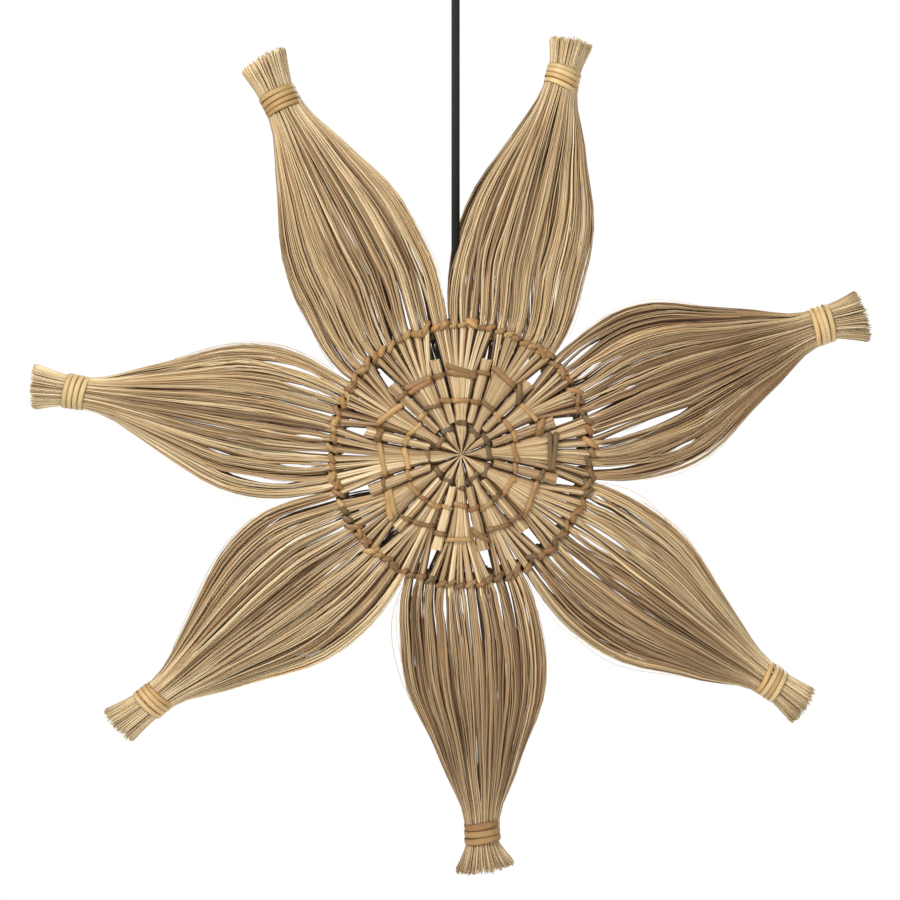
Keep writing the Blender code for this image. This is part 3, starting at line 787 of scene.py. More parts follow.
def petal_fibres(settings, index, side, rng):
    """Paths of the fibres in one face's layer of a petal, from under the ring to the brush."""
    petal, outline = petals[index], outlines[index]
    per_strand = settings.petal_fibres if side > 0 else settings.back_fibres
    count = per_strand * strands_per_petal
    by_clump = (strands_per_petal, clumps)
    pitch = 2.0 / strands_per_petal

    # Each fibre's place in its strand, and from it the share of the petal's width it lies at
    strand = np.repeat(np.arange(strands_per_petal), per_strand)
    middle = 1.0 - (2 * strand + 1) / strands_per_petal
    shift = strand_shifts(side)[index * strands_per_petal + strand] * pitch
    clump = rng.integers(0, clumps, count)
    place = np.sort(rng.uniform(-0.12, 0.12, by_clump), 1)[strand, clump]
    within = (clump + 0.5 + place + rng.normal(0.0, 0.17, count)) / clumps * 2.0 - 1.0
    within = np.clip(within, -1.0, 1.0)
    depth = rng.uniform(-1.0, 1.0, count)
    depth = np.where(rng.random(count) < outside_share, rng.uniform(0.6, 1.0, count), depth)
    loosen = (belly_spread + rng.normal(0.0, 0.04, strands_per_petal))[strand]
    on_ring = middle + shift + within * ring_spread[side] * pitch
    core = middle + shift + within * ring_spread[side] * pitch * drawn_in
    on_belly = middle + within * loosen * pitch + rng.normal(0.0, 0.004, count)
    on_belly = np.clip(on_belly, -1.01, 1.01)
    at_neck = np.clip(middle + within * 0.5 * pitch + rng.normal(0.0, 0.03, count), -0.99, 0.99)
    height = rng.normal(0.0, 0.0006, strands_per_petal)[strand]
    height = height + rng.normal(0.0, 0.0007, by_clump)[strand, clump]

    # From under the ring to the belly
    turn = blend(petal.lower, petal.upper, (core + 1.0) / 2)
    round_depth = depth * np.sqrt(np.clip(1.0 - (within * 0.92) ** 2, 0.05, 1.0))
    start = ring_radius - rng.uniform(0.0015, 0.0060, count)
    first = disc_height(start) + round_depth * half_straw * 0.5
    columns = [(start * np.cos(turn), start * np.sin(turn), first)]
    for x in (0.0, *ring_stations):
        on = blend(core, on_ring, min(x / ring_stations[0], 1.0))
        sheet = face_depth + belly_bulge * x - sheet_sag * on_belly ** 2 * x ** 2 + height * x
        loose = blend(round_depth, depth, x ** 2) * half_straw * min(0.62 + 2.0 * x, 1.0)
        columns.append((*along_strand(petal, on, on_belly, x), sheet + loose))

    # From the belly to the tie
    belly = columns[-1][1]
    neck_start = petal.tie - tie_length / 2 - 0.001
    girth = neck_radius * outline.girth
    gathered = girth * neck_filling * np.sin(at_neck * math.pi / 2)
    reach = np.sqrt((girth * neck_filling) ** 2 - gathered ** 2)
    gathered_depth = 0.0003 + (0.5 + 0.5 * depth) * reach
    sheet_depth = (
        face_depth + belly_bulge - sheet_sag * on_belly ** 2 + height + depth * half_straw)
    for x in neck_stations:
        along = np.full(count, blend(belly_radius, neck_start, x))
        across = blend(gathered, belly, taper(x)) + outline_shift(outline, on_belly, x)
        columns.append((along, across, blend(gathered_depth, sheet_depth, taper(x))))

    # The brush beyond the tie
    brush_start = petal.tie + tie_length / 2
    columns.append((np.full(count, brush_start + 0.001), gathered, gathered_depth))
    flare = petal.brush / girth * outline.fuller * (1.0 + rng.normal(0.0, 0.02, count))
    length = petal.tip + outline.longer + rng.normal(0.0, 0.0008, count)
    length = length - 0.06 * np.abs(gathered) + outline.slant * gathered / girth
    for share in brush_stations:
        grow = blend(1.0, flare, share ** 1.25)
        along = blend(brush_start, length, share)
        across = gathered * grow + outline.lean * share
        columns.append((along, across, gathered_depth * blend(1.0, grow, 0.8)))

    # Gaps and waves between the ring and the neck
    along, across, forward = stacked(columns)
    v = np.linspace(0.0, 1.0, len(columns))
    window = np.sin(np.pi * np.clip((v - wave_start) / wave_length, 0.0, 1.0)) ** 1.2
    across = open_gaps(across, on_belly, rng)
    each = (count, 1)
    size = settings.wave * np.abs(rng.normal(0.0, 1.0, each))
    size = np.where(rng.random(each) < wild_share, size * wild_factor, size)
    waves = rng.uniform(0.6, 1.7, each) * math.tau
    across = across + size * window * np.sin(waves * v + rng.uniform(0, math.tau, each))
    wave = np.sin(1.3 * waves * v + rng.uniform(0, math.tau, each))
    forward = forward + 0.7 * size * window * wave
    if side < 0:
        across = across + back_lean.get(index, 0.0) * window
    right, up = open_slits(*to_star(petal.angle, along, across), side)

    thick = settings.fine / 2 * np.exp(rng.normal(0.0, 0.22, each))
    radius = thick * np.interp(v, [0.0, 0.10, 0.75, 0.86, 1.0], [0.8, 1.1, 0.95, 0.85, 0.66])
    strand_tone = rng.normal(0.0, 0.06, strands_per_petal)[strand]
    clump_tone = rng.normal(0.0, 0.13, by_clump)[strand, clump]
    tone = petal_tones[index] + strand_tone + clump_tone + rng.normal(0.0, 0.14, count)
    tone = np.where(rng.random(count) < dark_share, tone - dark_step, tone)
    # Painted shade: fibres deeper in the layer are darker
    tone = tone - painted_depth_shade * (1.0 - depth) / 2
    tone = np.clip(tone[:, None] + 0.25 * smooth_step(v, 0.62, 0.90), 0.02, 0.99)
    return in_world(right, up, side * forward), radius, tone, strand * clumps + clump


def bundle_half_width(spacer, radius):
    """Half the width of a cut bundle at a radius."""
    share = (radius - spacer.start) / (spacer.end - spacer.start)
    return blend(spacer.start_width, spacer.end_width, share) / 2


def spoke_sides(number):
    """The cut bundles clockwise and anticlockwise of a spoke, and the angle between them."""
    lower, upper = spacers[number], spacers[number - 1]
    return lower, upper, (upper.angle - lower.angle) % math.tau


def spoke_edge(spacer, radius, gap):
    """Angle between a cut bundle's middle and the outermost stems of the spoke beside it."""
    held = np.clip(radius, spacer.start, spacer.end)
    beside = np.arcsin((bundle_half_width(spacer, held) + gap) / held)
    inside = np.minimum(gap * 0.75 / radius, 0.17)
    late = np.where(gap < open_gap, 0.0065, 0.0)
    return blend(inside, beside, smooth_step(radius, 0.017 + late, 0.0235 + late))


def spoke_fibres(settings, number, side, rng):
    """Paths of one spoke's stems, from the hub through the lashings and past the ring."""
    lower, upper, width = spoke_sides(number)
    turns = [(row.angle - lower.angle) % math.tau for row in strands]
    found = sorted((turn, place) for place, turn in enumerate(turns) if turn < width)
    own = [strands[place] for turn, place in found]
    bundles = len(found)
    per_strand = settings.spoke_fibres
    count = per_strand * bundles

    # Each stem's place in its strand: the first ones lie side by side on top
    strand = np.repeat(np.arange(bundles), per_strand)
    slot = np.tile(np.arange(per_strand), bundles)
    top_stems = per_strand // 2 + 1
    on_top = slot < top_stems
    within = np.where(on_top, (slot + 0.5) / top_stems * 2.0 - 1.0, rng.uniform(-1.0, 1.0, count))
    within = np.clip(within + rng.normal(0.0, 0.08, count), -1.0, 1.0)
    depth = np.where(on_top, rng.uniform(0.75, 1.0, count), rng.uniform(-1.0, 0.3, count))
    pitch = np.array([row.pitch for row in own])[strand]
    shifts = strand_shifts(side)[[place for turn, place in found]]
    turns = np.array([turn for turn, place in found])[strand] + shifts[strand] * pitch
    across_spoke = ((strand + 0.5 + 0.5 * within) / bundles)[:, None] * 2.0 - 1.0

    reaches_hub = rng.random(count) < hub_share
    near, far = rng.uniform(0.0004, 0.0030, count), rng.uniform(0.006, 0.017, count)
    first = np.where(reaches_hub, near, far)
    last = ring_radius + rng.uniform(0.010, 0.026, count)
    u = (spoke_stations - spoke_stations[0]) / (spoke_stations[-1] - spoke_stations[0])
    radius = first[:, None] + (last - first)[:, None] * u

    # Inside the ring the strands lie packed between the cut bundles, then fan out
    inside, top = within[:, None], on_top[:, None]
    gap = np.where(top, open_gap, filled_gap)
    low = spoke_edge(lower, radius, gap)
    high = width - spoke_edge(upper, radius, gap)
    free = smooth_step(radius, fan_start - 0.006, fan_start + 0.016)
    spacing = (high - low) / bundles
    widest = ring_spread[side] * 1.06
    filling = np.where(top, widest, blend(0.50, widest, smooth_step(radius, 0.083, 0.0905)))
    spread = blend(0.48, filling, smooth_step(radius, fan_start - 0.004, fan_start + 0.016))
    fan = low + spacing * (strand[:, None] + 0.5) + inside * spread * spacing
    on_ring = turns[:, None] + inside * filling * pitch[:, None]
    share = np.clip((radius - fan_start) / (ring_radius - fan_start), 0.0, 1.0) ** 0.9
    near_hub = 1.0 - smooth_step(radius, hub_start, hub_end)
    lean = rng.normal(0.0, 0.035) * near_hub
    angle = lower.angle + blend(fan, on_ring, share) + lean
    right, up = radius * np.cos(angle), radius * np.sin(angle)

    # Past the ring they follow the petals' strands
    beyond = np.maximum(radius - ring_radius, 0.0) / (belly_radius - ring_radius)
    even = 2.0 / strands_per_petal
    for place, row in enumerate(own):
        rows = strand == place
        ring_share = row.share + (shifts[place] + inside[rows] * widest) * even
        belly_share = row.share + inside[rows] * belly_spread * even
        petal = petals[row.petal]
        outer = to_star(
            petal.angle, *along_strand(petal, ring_share, belly_share, beyond[rows]))
        past = radius[rows] > ring_radius
        right[rows] = np.where(past, outer[0], right[rows])
        up[rows] = np.where(past, outer[1], up[rows])
    right, up = open_slits(right, up, side)
    if side < 0:
        right, up = close_gaps(right, up)

    domed, rounded = (np.sqrt(1.0 - (0.97 * place) ** 2) for place in (across_spoke, inside))
    shape = blend(domed, rounded, free) * straw_thickness / 2 * blend(0.92, 1.0, free)
    crown = spoke_crown * (1.0 - across_spoke ** 2) * (1.0 - free)
    level = np.where(
        radius < ring_radius, disc_height(radius), face_depth + belly_bulge * beyond)
    level = level + rng.uniform(0.0, 0.0018) * near_hub
    sink = end_sink * smooth_step(u, 0.80, 1.0)
    forward = level + crown + depth[:, None] * shape - sink

    thick = settings.broad / 2 * np.exp(rng.normal(0.0, 0.20, (count, 1)))
    thick = thick * np.interp(
        radius, [0.0, 0.010, 0.030, 0.075, 0.113], [0.70, 0.85, 1.0, 0.95, 0.80])
    thick = thick * np.interp(u, [0.0, 0.05, 0.84, 1.0], [0.6, 1.0, 1.0, 0.35])
    tone = spoke_tones[number] + rng.normal(0.0, 0.09, bundles)[strand]
    # Painted shade: stems lying under the top ones are darker, so the grooves between bundles look
    # dark
    tone = tone + rng.normal(0.0, 0.14, count) - np.where(on_top, 0.0, 0.46)
    # Painted shade: stems towards the sides of a spoke, and further out of each strand, are darker
    spoke_side_shade_mask = smooth_step(np.abs(across_spoke), 0.60, 1.0)
    edge = blend(spoke_side_shade_mask, smooth_step(np.abs(inside), 0.45, 1.0), free)
    tone = np.clip(tone[:, None] - painted_edge_shade * edge, 0.0, 0.99)
    return in_world(right, up, side * forward), thick, tone, strand + number * spacer_count


def stray_place(index, share, t):
    """Place just outside a petal's layer, at a share of its width, from ring, 0, to neck, 1."""
    petal = petals[index]
    at_belly = 0.4
    x = np.clip(t / at_belly, 0.0, 1.0)
    y = np.clip((t - at_belly) / (1.0 - at_belly), 0.0, 1.0)
    along, across = along_strand(petal, share, share, x)
    gathered = neck_radius * np.sin(np.clip(share, -1.0, 1.0) * math.pi / 2)
    gathered_depth = np.sqrt(np.maximum(neck_radius ** 2 - gathered ** 2, 0.0))
    along = along + (petal.tie - tie_length / 2 - belly_radius) * y
    sheet = face_depth + belly_bulge * x - sheet_sag * share ** 2 * x ** 2 + half_straw + 0.0004
    across = blend(gathered, across, taper(y))
    across = across + outline_shift(outlines[index], share, y) * (t > at_belly)
    return along, across, blend(gathered_depth, sheet, taper(y))


def stray_fibres(settings, side, rng):
    """Paths of single thin fibres that lie across the petals or stand off their edges."""
    rows = list(chosen_strays) if side > 0 else []
    for index in np.repeat(np.arange(petal_count), settings.strays):
        start = rng.uniform(0.0, 0.4)
        end = start + rng.uniform(0.3, 0.6)
        if rng.random() < 0.35:
            edge = rng.choice([-1.0, 1.0])
            bulge = rng.uniform(0.0008, 0.0026)
            rows.append(Stray(index, edge, edge * rng.uniform(0.85, 1.0), start, end, bulge))
        else:
            share = rng.uniform(-0.85, 0.85)
            other = float(np.clip(share + rng.normal(0.0, 0.10), -0.95, 0.95))
            rows.append(Stray(index, share, other, start, end, 0.0))
    u = np.linspace(0.0, 1.0, 14)
    paths = []
    for row in rows:
        share = blend(row.share_start, row.share_end, u)
        t = np.minimum(blend(row.start, row.end, u), 1.0)
        along, across, forward = stray_place(row.index, share, t)
        curl = 0.3 * np.sin(rng.uniform(3.0, 7.0) * u + rng.uniform(0.0, 6.0))
        across = across + np.sign(row.share_start) * row.bulge * (np.sin(math.pi * u) + curl)
        right, up = to_star(petals[row.index].angle, along, across)
        paths.append(in_world(right, up, side * forward))
    paths = np.array(paths)
    radius = settings.stray / 2 * np.ones(paths.shape[:2])
    return paths, radius, rng.uniform(0.35, 0.9, (len(paths), 1)) + np.zeros(len(u))


def spacer_fibres(settings, number, side, rng):
    """Paths of a short bundle's stems, cut square at both ends and pinched by its lashings."""
    spacer = spacers[number]
    count = settings.spacer_fibres
    top_stems = count // 2
    even = (np.arange(count) + 0.5) / top_stems * 2.0 - 1.0
    on_top = np.arange(count) < top_stems
    across = np.where(on_top, even, rng.uniform(-1.0, 1.0, count))
    depth = np.where(on_top, rng.uniform(0.75, 1.0, count), rng.uniform(-1.0, 0.6, count))
    cut = rng.normal(0.0, 0.0004, (count, 2))
    lift = spacer_lift + rng.uniform(-0.0006, 0.0008)
    (inner, _), (outer, _) = spacer_rows
    stations = (
        (spacer.start, cut[:, 0], 1.0), (inner, 0.0, 0.86), (spacer_middle, 0.0, 1.0),
        (outer, 0.0, 0.86), (spacer.end, cut[:, 1], 1.0))
    columns = []
    for radius, longer, pinch in stations:
        half = (bundle_half_width(spacer, radius) - 0.0007) * pinch
        shift = across * half + rng.normal(0.0, 0.00010, count)
        shape = np.sqrt(np.clip(1.0 - (across * 0.97) ** 2, 0.03, 1.0)) * pinch
        forward = disc_height(radius) + lift + depth * shape * (half_straw + 0.0006) - 0.0006
        columns.append((*to_star(spacer.angle, radius + longer, shift), forward))
    right, up, forward = stacked(columns)
    even_along = np.ones(len(columns))
    thick = settings.broad / 2 * np.exp(rng.normal(0.0, 0.15, (count, 1)))
    tone = (spacer_tones[number] if side > 0 else 0.55) + rng.normal(0.0, 0.13, count)
    # Painted shade: deeper stems and stems towards the bundle's sides are darker
    tone = tone - 0.10 * (1.0 - depth) / 2 - 0.30 * smooth_step(np.abs(across), 0.60, 1.0)
    tone = np.clip(tone[:, None] * even_along, 0.02, 0.99)
    return in_world(right, up, side * forward), thick * even_along, tone


# Lashings
def varied(tone, spread, rng):
    """A tone that is off by a random amount, between 0 and 1."""
    return float(np.clip(tone + rng.normal(0.0, spread), 0.0, 1.0))


def loops_piece(name, loops, settings, material, rng):
    """Flat strips wound once round, as closed loops.

    Each loop is its middle, its long direction, the direction that faces out of the star, its
    half length, its half height and its tone.
    """
    middle, long, out, half_length, half_height, tone = map(np.array, zip(*loops))
    long, out = unit(long.astype(float)), unit(out.astype(float))
    count, corners = len(loops), 12
    turns = (np.arange(corners) + 0.5) / corners * math.tau
    power = 2.0 / np.clip(1.6 + 0.9 * half_length / half_height, 2.2, 3.8)[:, None]
    along = half_length[:, None] * signed_power(np.cos(turns), power)
    rise = half_height[:, None] * signed_power(np.sin(turns), power)
    paths = middle[:, None] + along[..., None] * long[:, None] + rise[..., None] * out[:, None]
    paths = paths + rng.normal(0.0, 0.00022, paths.shape)
    widths = settings.width * rng.uniform(0.78, 1.15, count)
    sizes = np.stack([widths, np.full(count, settings.thickness)], -1)
    section = strip_section * sizes[:, None, None]
    points, parts = sweep(paths, np.cross(long, out)[:, None], section, closed=True)
    run = run_along(paths, rng)
    around = rng.uniform(0.0, 40.0, (count, 1, 1)) + strip_section[:, 0] * 0.12
    wear = rng.normal(0.0, 0.05, (count, corners, 1))
    # Painted shade under each strip and a painted highlight on its crown are added to the loop's tone
    tones = np.clip(tone[:, None, None] + wear + strip_painted_shade_and_highlight, 0.0, 1.0)
    finish_piece(mesh_piece(name, points, parts, tones, run, around), material)


def world_direction(right, up, forward):
    """World direction from one right of, above and in front of the star."""
    return np.array([right, -forward, up])


def lashing(angle, radius, half_width, top, bottom, tilt, tone, side, lift=0.0):
    """One loop round what lies between two depths, at an angle and a radius on the star."""
    c, s = math.cos(angle), math.sin(angle)
    middle = in_world(radius * c, radius * s, side * (top + bottom) / 2)
    round_star, outwards = world_direction(-s, c, 0.0), world_direction(c, s, 0.0)
    long = round_star * math.cos(tilt) + outwards * math.sin(tilt)
    out = world_direction(0.0, 0.0, side)
    half_length = half_width / math.cos(tilt) + lift
    return middle, long, out, half_length, (top - bottom) / 2 + lift, tone


def ring_lashings(side, rng):
    """A slanted loop round every strand and the hoop behind it, some with a second one across."""
    loops = []
    second_lift = bpy.context.scene.straw_star_lashing.thickness
    top = face_depth + half_straw + 0.0009
    bottom = hoop_depth - hoop_radius - 0.0004
    for strand, shift in zip(strands, strand_shifts(side)):
        place = strand.angle + shift * strand.pitch
        half = ring_radius * strand.pitch * rng.uniform(0.44, 0.54)
        tilt = ring_slant + rng.normal(0.0, 0.20)
        # Painted light: lashings are paler towards the key light's side of the ring
        tone = 0.34 + 0.15 * math.cos(strand.angle - painted_light_side)
        radius = ring_radius + rng.normal(0.0, 0.0009)
        span = (place, radius, half, top, bottom)
        shade = varied(tone, 0.13, rng)
        loops.append(lashing(*span, tilt, shade, side, rng.uniform(0.0, 0.0005)))
        if rng.random() < second_share:
            shade = varied(tone, 0.10, rng)
            loops.append(lashing(*span, second_slant, shade, side, second_lift))
    return loops


def spoke_lashings(side, rng):
    """Three loops round every spoke, the outer two with an inner hoop behind them."""
    loops = []
    for number in range(spacer_count):
        lower, upper, width = spoke_sides(number)
        for radius, tone, slant, hoop in spoke_rows:
            radius = radius + rng.normal(0.0, 0.0016)
            low = float(spoke_edge(lower, radius, open_gap))
            high = width - float(spoke_edge(upper, radius, open_gap))
            half = radius * math.sin((high - low) / 2) * rng.uniform(0.90, 1.02) + 0.0008
            angle = lower.angle + (low + high) / 2 + rng.normal(0.0, 0.0006) / radius
            height = disc_height(radius)
            top = height + half_straw + spoke_crown + 0.0004
            bottom = height - half_straw - 2 * hoop - 0.0006
            tilt = slant * rng.uniform(-1.0, 1.0)
            shade = varied(tone, 0.16, rng)
            loops.append(lashing(angle, radius, half, top, bottom, tilt, shade, side))
            if radius > doubled_beyond and rng.random() < spoke_doubled:
                beside = radius + 0.0030
                loops.append(
                    lashing(angle, beside, half, top, bottom, tilt + 0.12, shade, side, 0.0002))
    return loops


def spacer_lashings(side, rng):
    """Two lashings round every cut bundle, the outer one often wound twice or crossed."""
    loops = []
    for spacer in spacers:
        for radius, tone in spacer_rows:
            place = radius + rng.normal(0.0, 0.0012)
            half = bundle_half_width(spacer, radius) * 0.92 + 0.0004
            height = disc_height(radius)
            top = height + spacer_lift + half_straw + 0.0007
            bottom = height - half_straw - 2 * inner_hoop_radius - 0.0006
            span = (spacer.angle, place, half, top, bottom)
            shade = varied(tone, 0.14, rng)
            tilt = rng.uniform(-0.35, 0.35)
            loops.append(lashing(*span, tilt, shade, side))
            if radius > doubled_beyond and rng.random() < spacer_doubled:
                loops.append(lashing(*span, tilt + 0.6, shade, side, 0.0006))
    return loops


# Hoops and ties
def hoop_piece(name, node, thickness, material):
    """A cane hoop whose thickness varies a little along it."""
    deselect()
    bpy.ops.mesh.primitive_torus_add(
        major_radius=box_size(node).x / 2 - thickness, minor_radius=thickness,
        major_segments=96, minor_segments=12, location=(star_x, box_middle(node).y, star_z),
        rotation=(math.radians(90.0), 0.0, 0.0))
    hoop = bpy.context.object
    hoop.name = hoop.data.name = name
    bpy.ops.object.mode_set(mode="EDIT")
    bpy.ops.mesh.select_all(action="SELECT")
    bpy.ops.transform.vertex_random(offset=0.00012, uniform=0.0, normal=1.0, seed=3)
    bpy.ops.object.mode_set(mode="OBJECT")
    bpy.ops.object.shade_smooth()
    apply_all(hoop)
    finish_piece(hoop, material, (node,))


def tie_band(petal, offset, radius, width, thickness, tilt, turn, tone):
    """One turn of strip round a tip: a ring squashed to a crowned strip, a little out of square."""
    deselect()
    bpy.ops.mesh.primitive_torus_add(
        major_radius=radius, minor_radius=thickness / 2, major_segments=40, minor_segments=10)
    band = bpy.context.object
    bpy.ops.object.mode_set(mode="EDIT")
    bpy.ops.mesh.select_all(action="SELECT")
    scale_faces(1.0, width / thickness)
    bpy.ops.object.mode_set(mode="OBJECT")
    mesh = band.data
    own = vertex_places(mesh)
    edge = np.abs(own[:, 2]) / (width / 2)
    out = np.hypot(own[:, 0], own[:, 1])
    flat = signed_power((out - radius) / (thickness / 2), 0.75) * thickness / 2
    own[:, :2] *= ((radius + flat) / out)[:, None]
    mesh.vertices.foreach_set("co", own.ravel())
    band.rotation_mode = "ZYX"
    band.rotation_euler = (tilt * math.cos(turn), tilt * math.sin(turn), 0.0)
    apply_all(band)

    places = vertex_places(mesh)
    around = (np.arctan2(places[:, 1], places[:, 0]) + math.pi) * radius
    corners = np.empty(len(mesh.loops), np.int32)
    mesh.loops.foreach_get("vertex_index", corners)
    while mesh.uv_layers:
        mesh.uv_layers.remove(mesh.uv_layers[0])
    strip_place = own[:, 2] * 12.0 + offset * 400.0 + petal.angle * 7.0
    add_along(mesh, corners, np.stack([around, strip_place], 1))
    # Painted shade: each turn darkens towards its edges, for the dark lines between turns
    add_tones(mesh, np.clip(tone - 0.45 * edge ** 4, 0.0, 1.0))
    right, up = to_star(petal.angle, petal.tie + offset + places[:, 2], places[:, 0])
    world = in_world(right, up, -places[:, 1])
    mesh.vertices.foreach_set("co", world.astype(np.float32).ravel())
    mesh.update()
    return band


def tie_piece(index, material, rng):
    """The strip wound round a tip, as three or four slanted turns side by side."""
    turns = tie_turns[index]
    pitch = tie_length / turns
    bands = []
    for k in range(turns):
        first = k == 0
        offset = (k + 0.5) * pitch - tie_length / 2 + rng.normal(0.0, 0.0002)
        tone = varied(tie_tones[index], 0.08, rng)
        tilt = tie_slants[index] * (1.6 if first else 1.0) + rng.normal(0.0, 0.02)
        proud = -0.0002 if first else rng.uniform(0.0, 0.0004)
        radius = neck_radius * outlines[index].girth + 0.0003 + proud
        width = pitch * rng.uniform(1.00, 1.10)
        turn = math.pi / 2 + rng.normal(0.0, 0.2)
        bands.append(
            tie_band(petals[index], offset, radius, width, tie_thickness, tilt, turn, tone))
    deselect()
    for band in bands:
        band.select_set(True)
    bpy.context.view_layer.objects.active = bands[0]
    bpy.ops.object.join()
    tie = bpy.context.object
    tie.name = tie.data.name = f"tip_tie_{index + 1}_strip"
    bpy.ops.object.shade_smooth()
    finish_piece(tie, material, (f"tip_tie_{index + 1}",))


# Hanging parts
def select_faces(obj, test):
    """Go to edit mode with the faces selected that pass a test on their middle and normal."""
    bpy.ops.object.mode_set(mode="EDIT")
    bpy.ops.mesh.select_mode(type="FACE")
    bpy.ops.mesh.select_all(action="DESELECT")
    bpy.ops.object.mode_set(mode="OBJECT")
    for polygon in obj.data.polygons:
        polygon.select = test(polygon.center, polygon.normal)
    bpy.ops.object.mode_set(mode="EDIT")


def extrude(distance):
    """Extrude the selected faces along Z."""
    bpy.ops.mesh.extrude_region_move(TRANSFORM_OT_translate={"value": (0.0, 0.0, distance)})


def scale_faces(across, along=1.0):
    """Scale the selected faces about the Z axis, and along it."""
    bpy.ops.transform.resize(value=(across, across, along), center_override=(0.0, 0.0, 0.0))


def add_grooves(count, narrow, slope_in, slope_out, *lands):
    """Run the selected faces down in grooves, with straight lands after each."""
    for _ in range(count):
        extrude(-slope_in)
        scale_faces(narrow)
        extrude(-slope_out)
        scale_faces(1 / narrow)
        for land in lands:
            extrude(-land)


def start_turned(radius, depth, vertices):
    """A disc whose top is at the origin, with its underside selected."""
    deselect()
    bpy.ops.mesh.primitive_cylinder_add(
        vertices=vertices, radius=radius, depth=depth, location=(0.0, 0.0, -depth / 2))
    bpy.ops.object.transform_apply(location=True)
    select_faces(bpy.context.object, lambda middle, normal: normal.z < -0.9)
    return bpy.context.object


def finish_turned(obj, name, height, material, node, bevel):
    """Round the edges of a turned piece, put it at its height and give it its finish."""
    bpy.ops.object.mode_set(mode="OBJECT")
    obj.name = obj.data.name = name
    edges = obj.modifiers.new("edges", "BEVEL")
    edges.width = bevel
    edges.segments = 3
    edges.limit_method = "ANGLE"
    obj.location.z = height
    apply_all(obj)
    bpy.ops.object.shade_smooth_by_angle(angle=math.radians(35.0))
    return finish_piece(obj, material, (node,))


def holder_piece(material):
    """The lamp holder: a grooved body, a shoulder, the neck that grips the cord, a socket."""
    low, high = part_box("lamp_holder")
    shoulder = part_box("holder_bracket")[0].z - 0.0003
    radius = (high.x - low.x) / 2
    socket_radius, socket_depth = 0.0085, 0.028
    neck = cord_diameter / 2 + 0.003
    cap = 0.012
    grooves, groove_pitch = 6, 0.0046
    holder = start_turned(radius, cap, 64)
    add_grooves(grooves, 0.955, 0.0006, 0.0012, 0.0006, 0.0022)
    extrude(-(shoulder - low.z - cap - grooves * groove_pitch))
    bpy.ops.mesh.inset(thickness=radius - socket_radius)
    extrude(socket_depth)
    select_faces(holder, lambda middle, normal: normal.z > 0.9 and middle.z > -0.001)
    bpy.ops.mesh.inset(thickness=radius - neck)
    extrude(high.z - shoulder)
    finish_turned(holder, "lamp_holder_moulding", shoulder, material, "lamp_holder", 0.0004)


def fitting_piece(material):
    """The ceiling fitting: a round plate that runs down in a cone to a ribbed cord grip."""
    low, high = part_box("ceiling_fitting")
    radius = (high.x - low.x) / 2
    plate, rim, ribs = 0.006, 0.0012, 0.005
    grip = cord_diameter / 2 + 0.003
    fitting = start_turned(radius, plate, 72)
    bpy.ops.mesh.inset(thickness=rim)
    steps = 7
    now = radius - rim
    for k in range(1, steps + 1):
        after = blend(grip, radius - rim, (1.0 - k / steps) ** 1.7)
        extrude(-(high.z - low.z - plate - ribs) / steps)
        scale_faces(after / now)
        now = after
    add_grooves(2, 0.9, 0.0008, 0.0004, 0.0013)
    return finish_turned(
        fitting, "ceiling_fitting_cup", high.z, material, "ceiling_fitting", 0.0003)


def cord_piece(material, fitting):
    """The cloth covered cord, straight under the star's weight."""
    curve = bpy.data.curves.new("cloth_cord", "CURVE")
    curve.dimensions = "3D"
    curve.bevel_depth = cord_diameter / 2
    curve.bevel_resolution = 5
    curve.use_fill_caps = True
    spline = curve.splines.new("POLY")
    spline.points.add(len(cord_route) - 1)
    for point, place in zip(spline.points, cord_route):
        point.co = (*place, 1.0)
    cord = bpy.data.objects.new("cloth_cord", curve)
    bpy.context.scene.collection.objects.link(cord)
    finish_piece(cord, material, ("cord",))


# Stage
def white_surround(strength):
    """A surround that looks white and lights the star softly."""
    world = bpy.data.worlds.new("white_surround")
    world.use_nodes = True
    tree = world.node_tree
    light = tree.nodes["Background"]
    seen = tree.nodes.new("ShaderNodeBackground")
    for background in (light, seen):
        background.inputs["Color"].default_value = (1.0, 1.0, 1.0, 1.0)
    light.inputs["Strength"].default_value = strength
    rays = tree.nodes.new("ShaderNodeLightPath")
    mix = tree.nodes.new("ShaderNodeMixShader")
    tree.links.new(rays.outputs["Is Camera Ray"], mix.inputs["Fac"])
    tree.links.new(light.outputs["Background"], mix.inputs[1])
    tree.links.new(seen.outputs["Background"], mix.inputs[2])
    tree.links.new(mix.outputs["Shader"], tree.nodes["World Output"].inputs["Surface"])
    return world


def floor_material():
    """A pale floor, almost even, that looks as white as the surround."""
    nodes = Nodes("pale_floor")
    cloud = nodes.noise(object_place(nodes), (3.0, 3.0, 3.0), 2.0)
    nodes.surface(
        Base_Color=nodes.ramp(cloud, ((0.3, (0.93, 0.93, 0.93)), (0.7, (0.96, 0.96, 0.96)))),
        Roughness=0.9, Specular_IOR_Level=0.2, Emission_Color=(1.0, 1.0, 1.0, 1.0),
        Emission_Strength=0.25)
    return nodes.material


def add_light(name, offset, size, power):
    """A square soft light at an offset from the star's centre, which it faces."""
    light = bpy.data.lights.new(name, "AREA")
    light.shape = "SQUARE"
    light.size = size
    light.energy = power
    lamp = bpy.data.objects.new(name, light)
    lamp.location = Vector((star_x, 0.0, star_z)) + Vector(offset)
    lamp.rotation_euler = (-Vector(offset)).to_track_quat("-Z", "Y").to_euler()
    lamp.visible_camera = False
    bpy.context.scene.collection.objects.link(lamp)


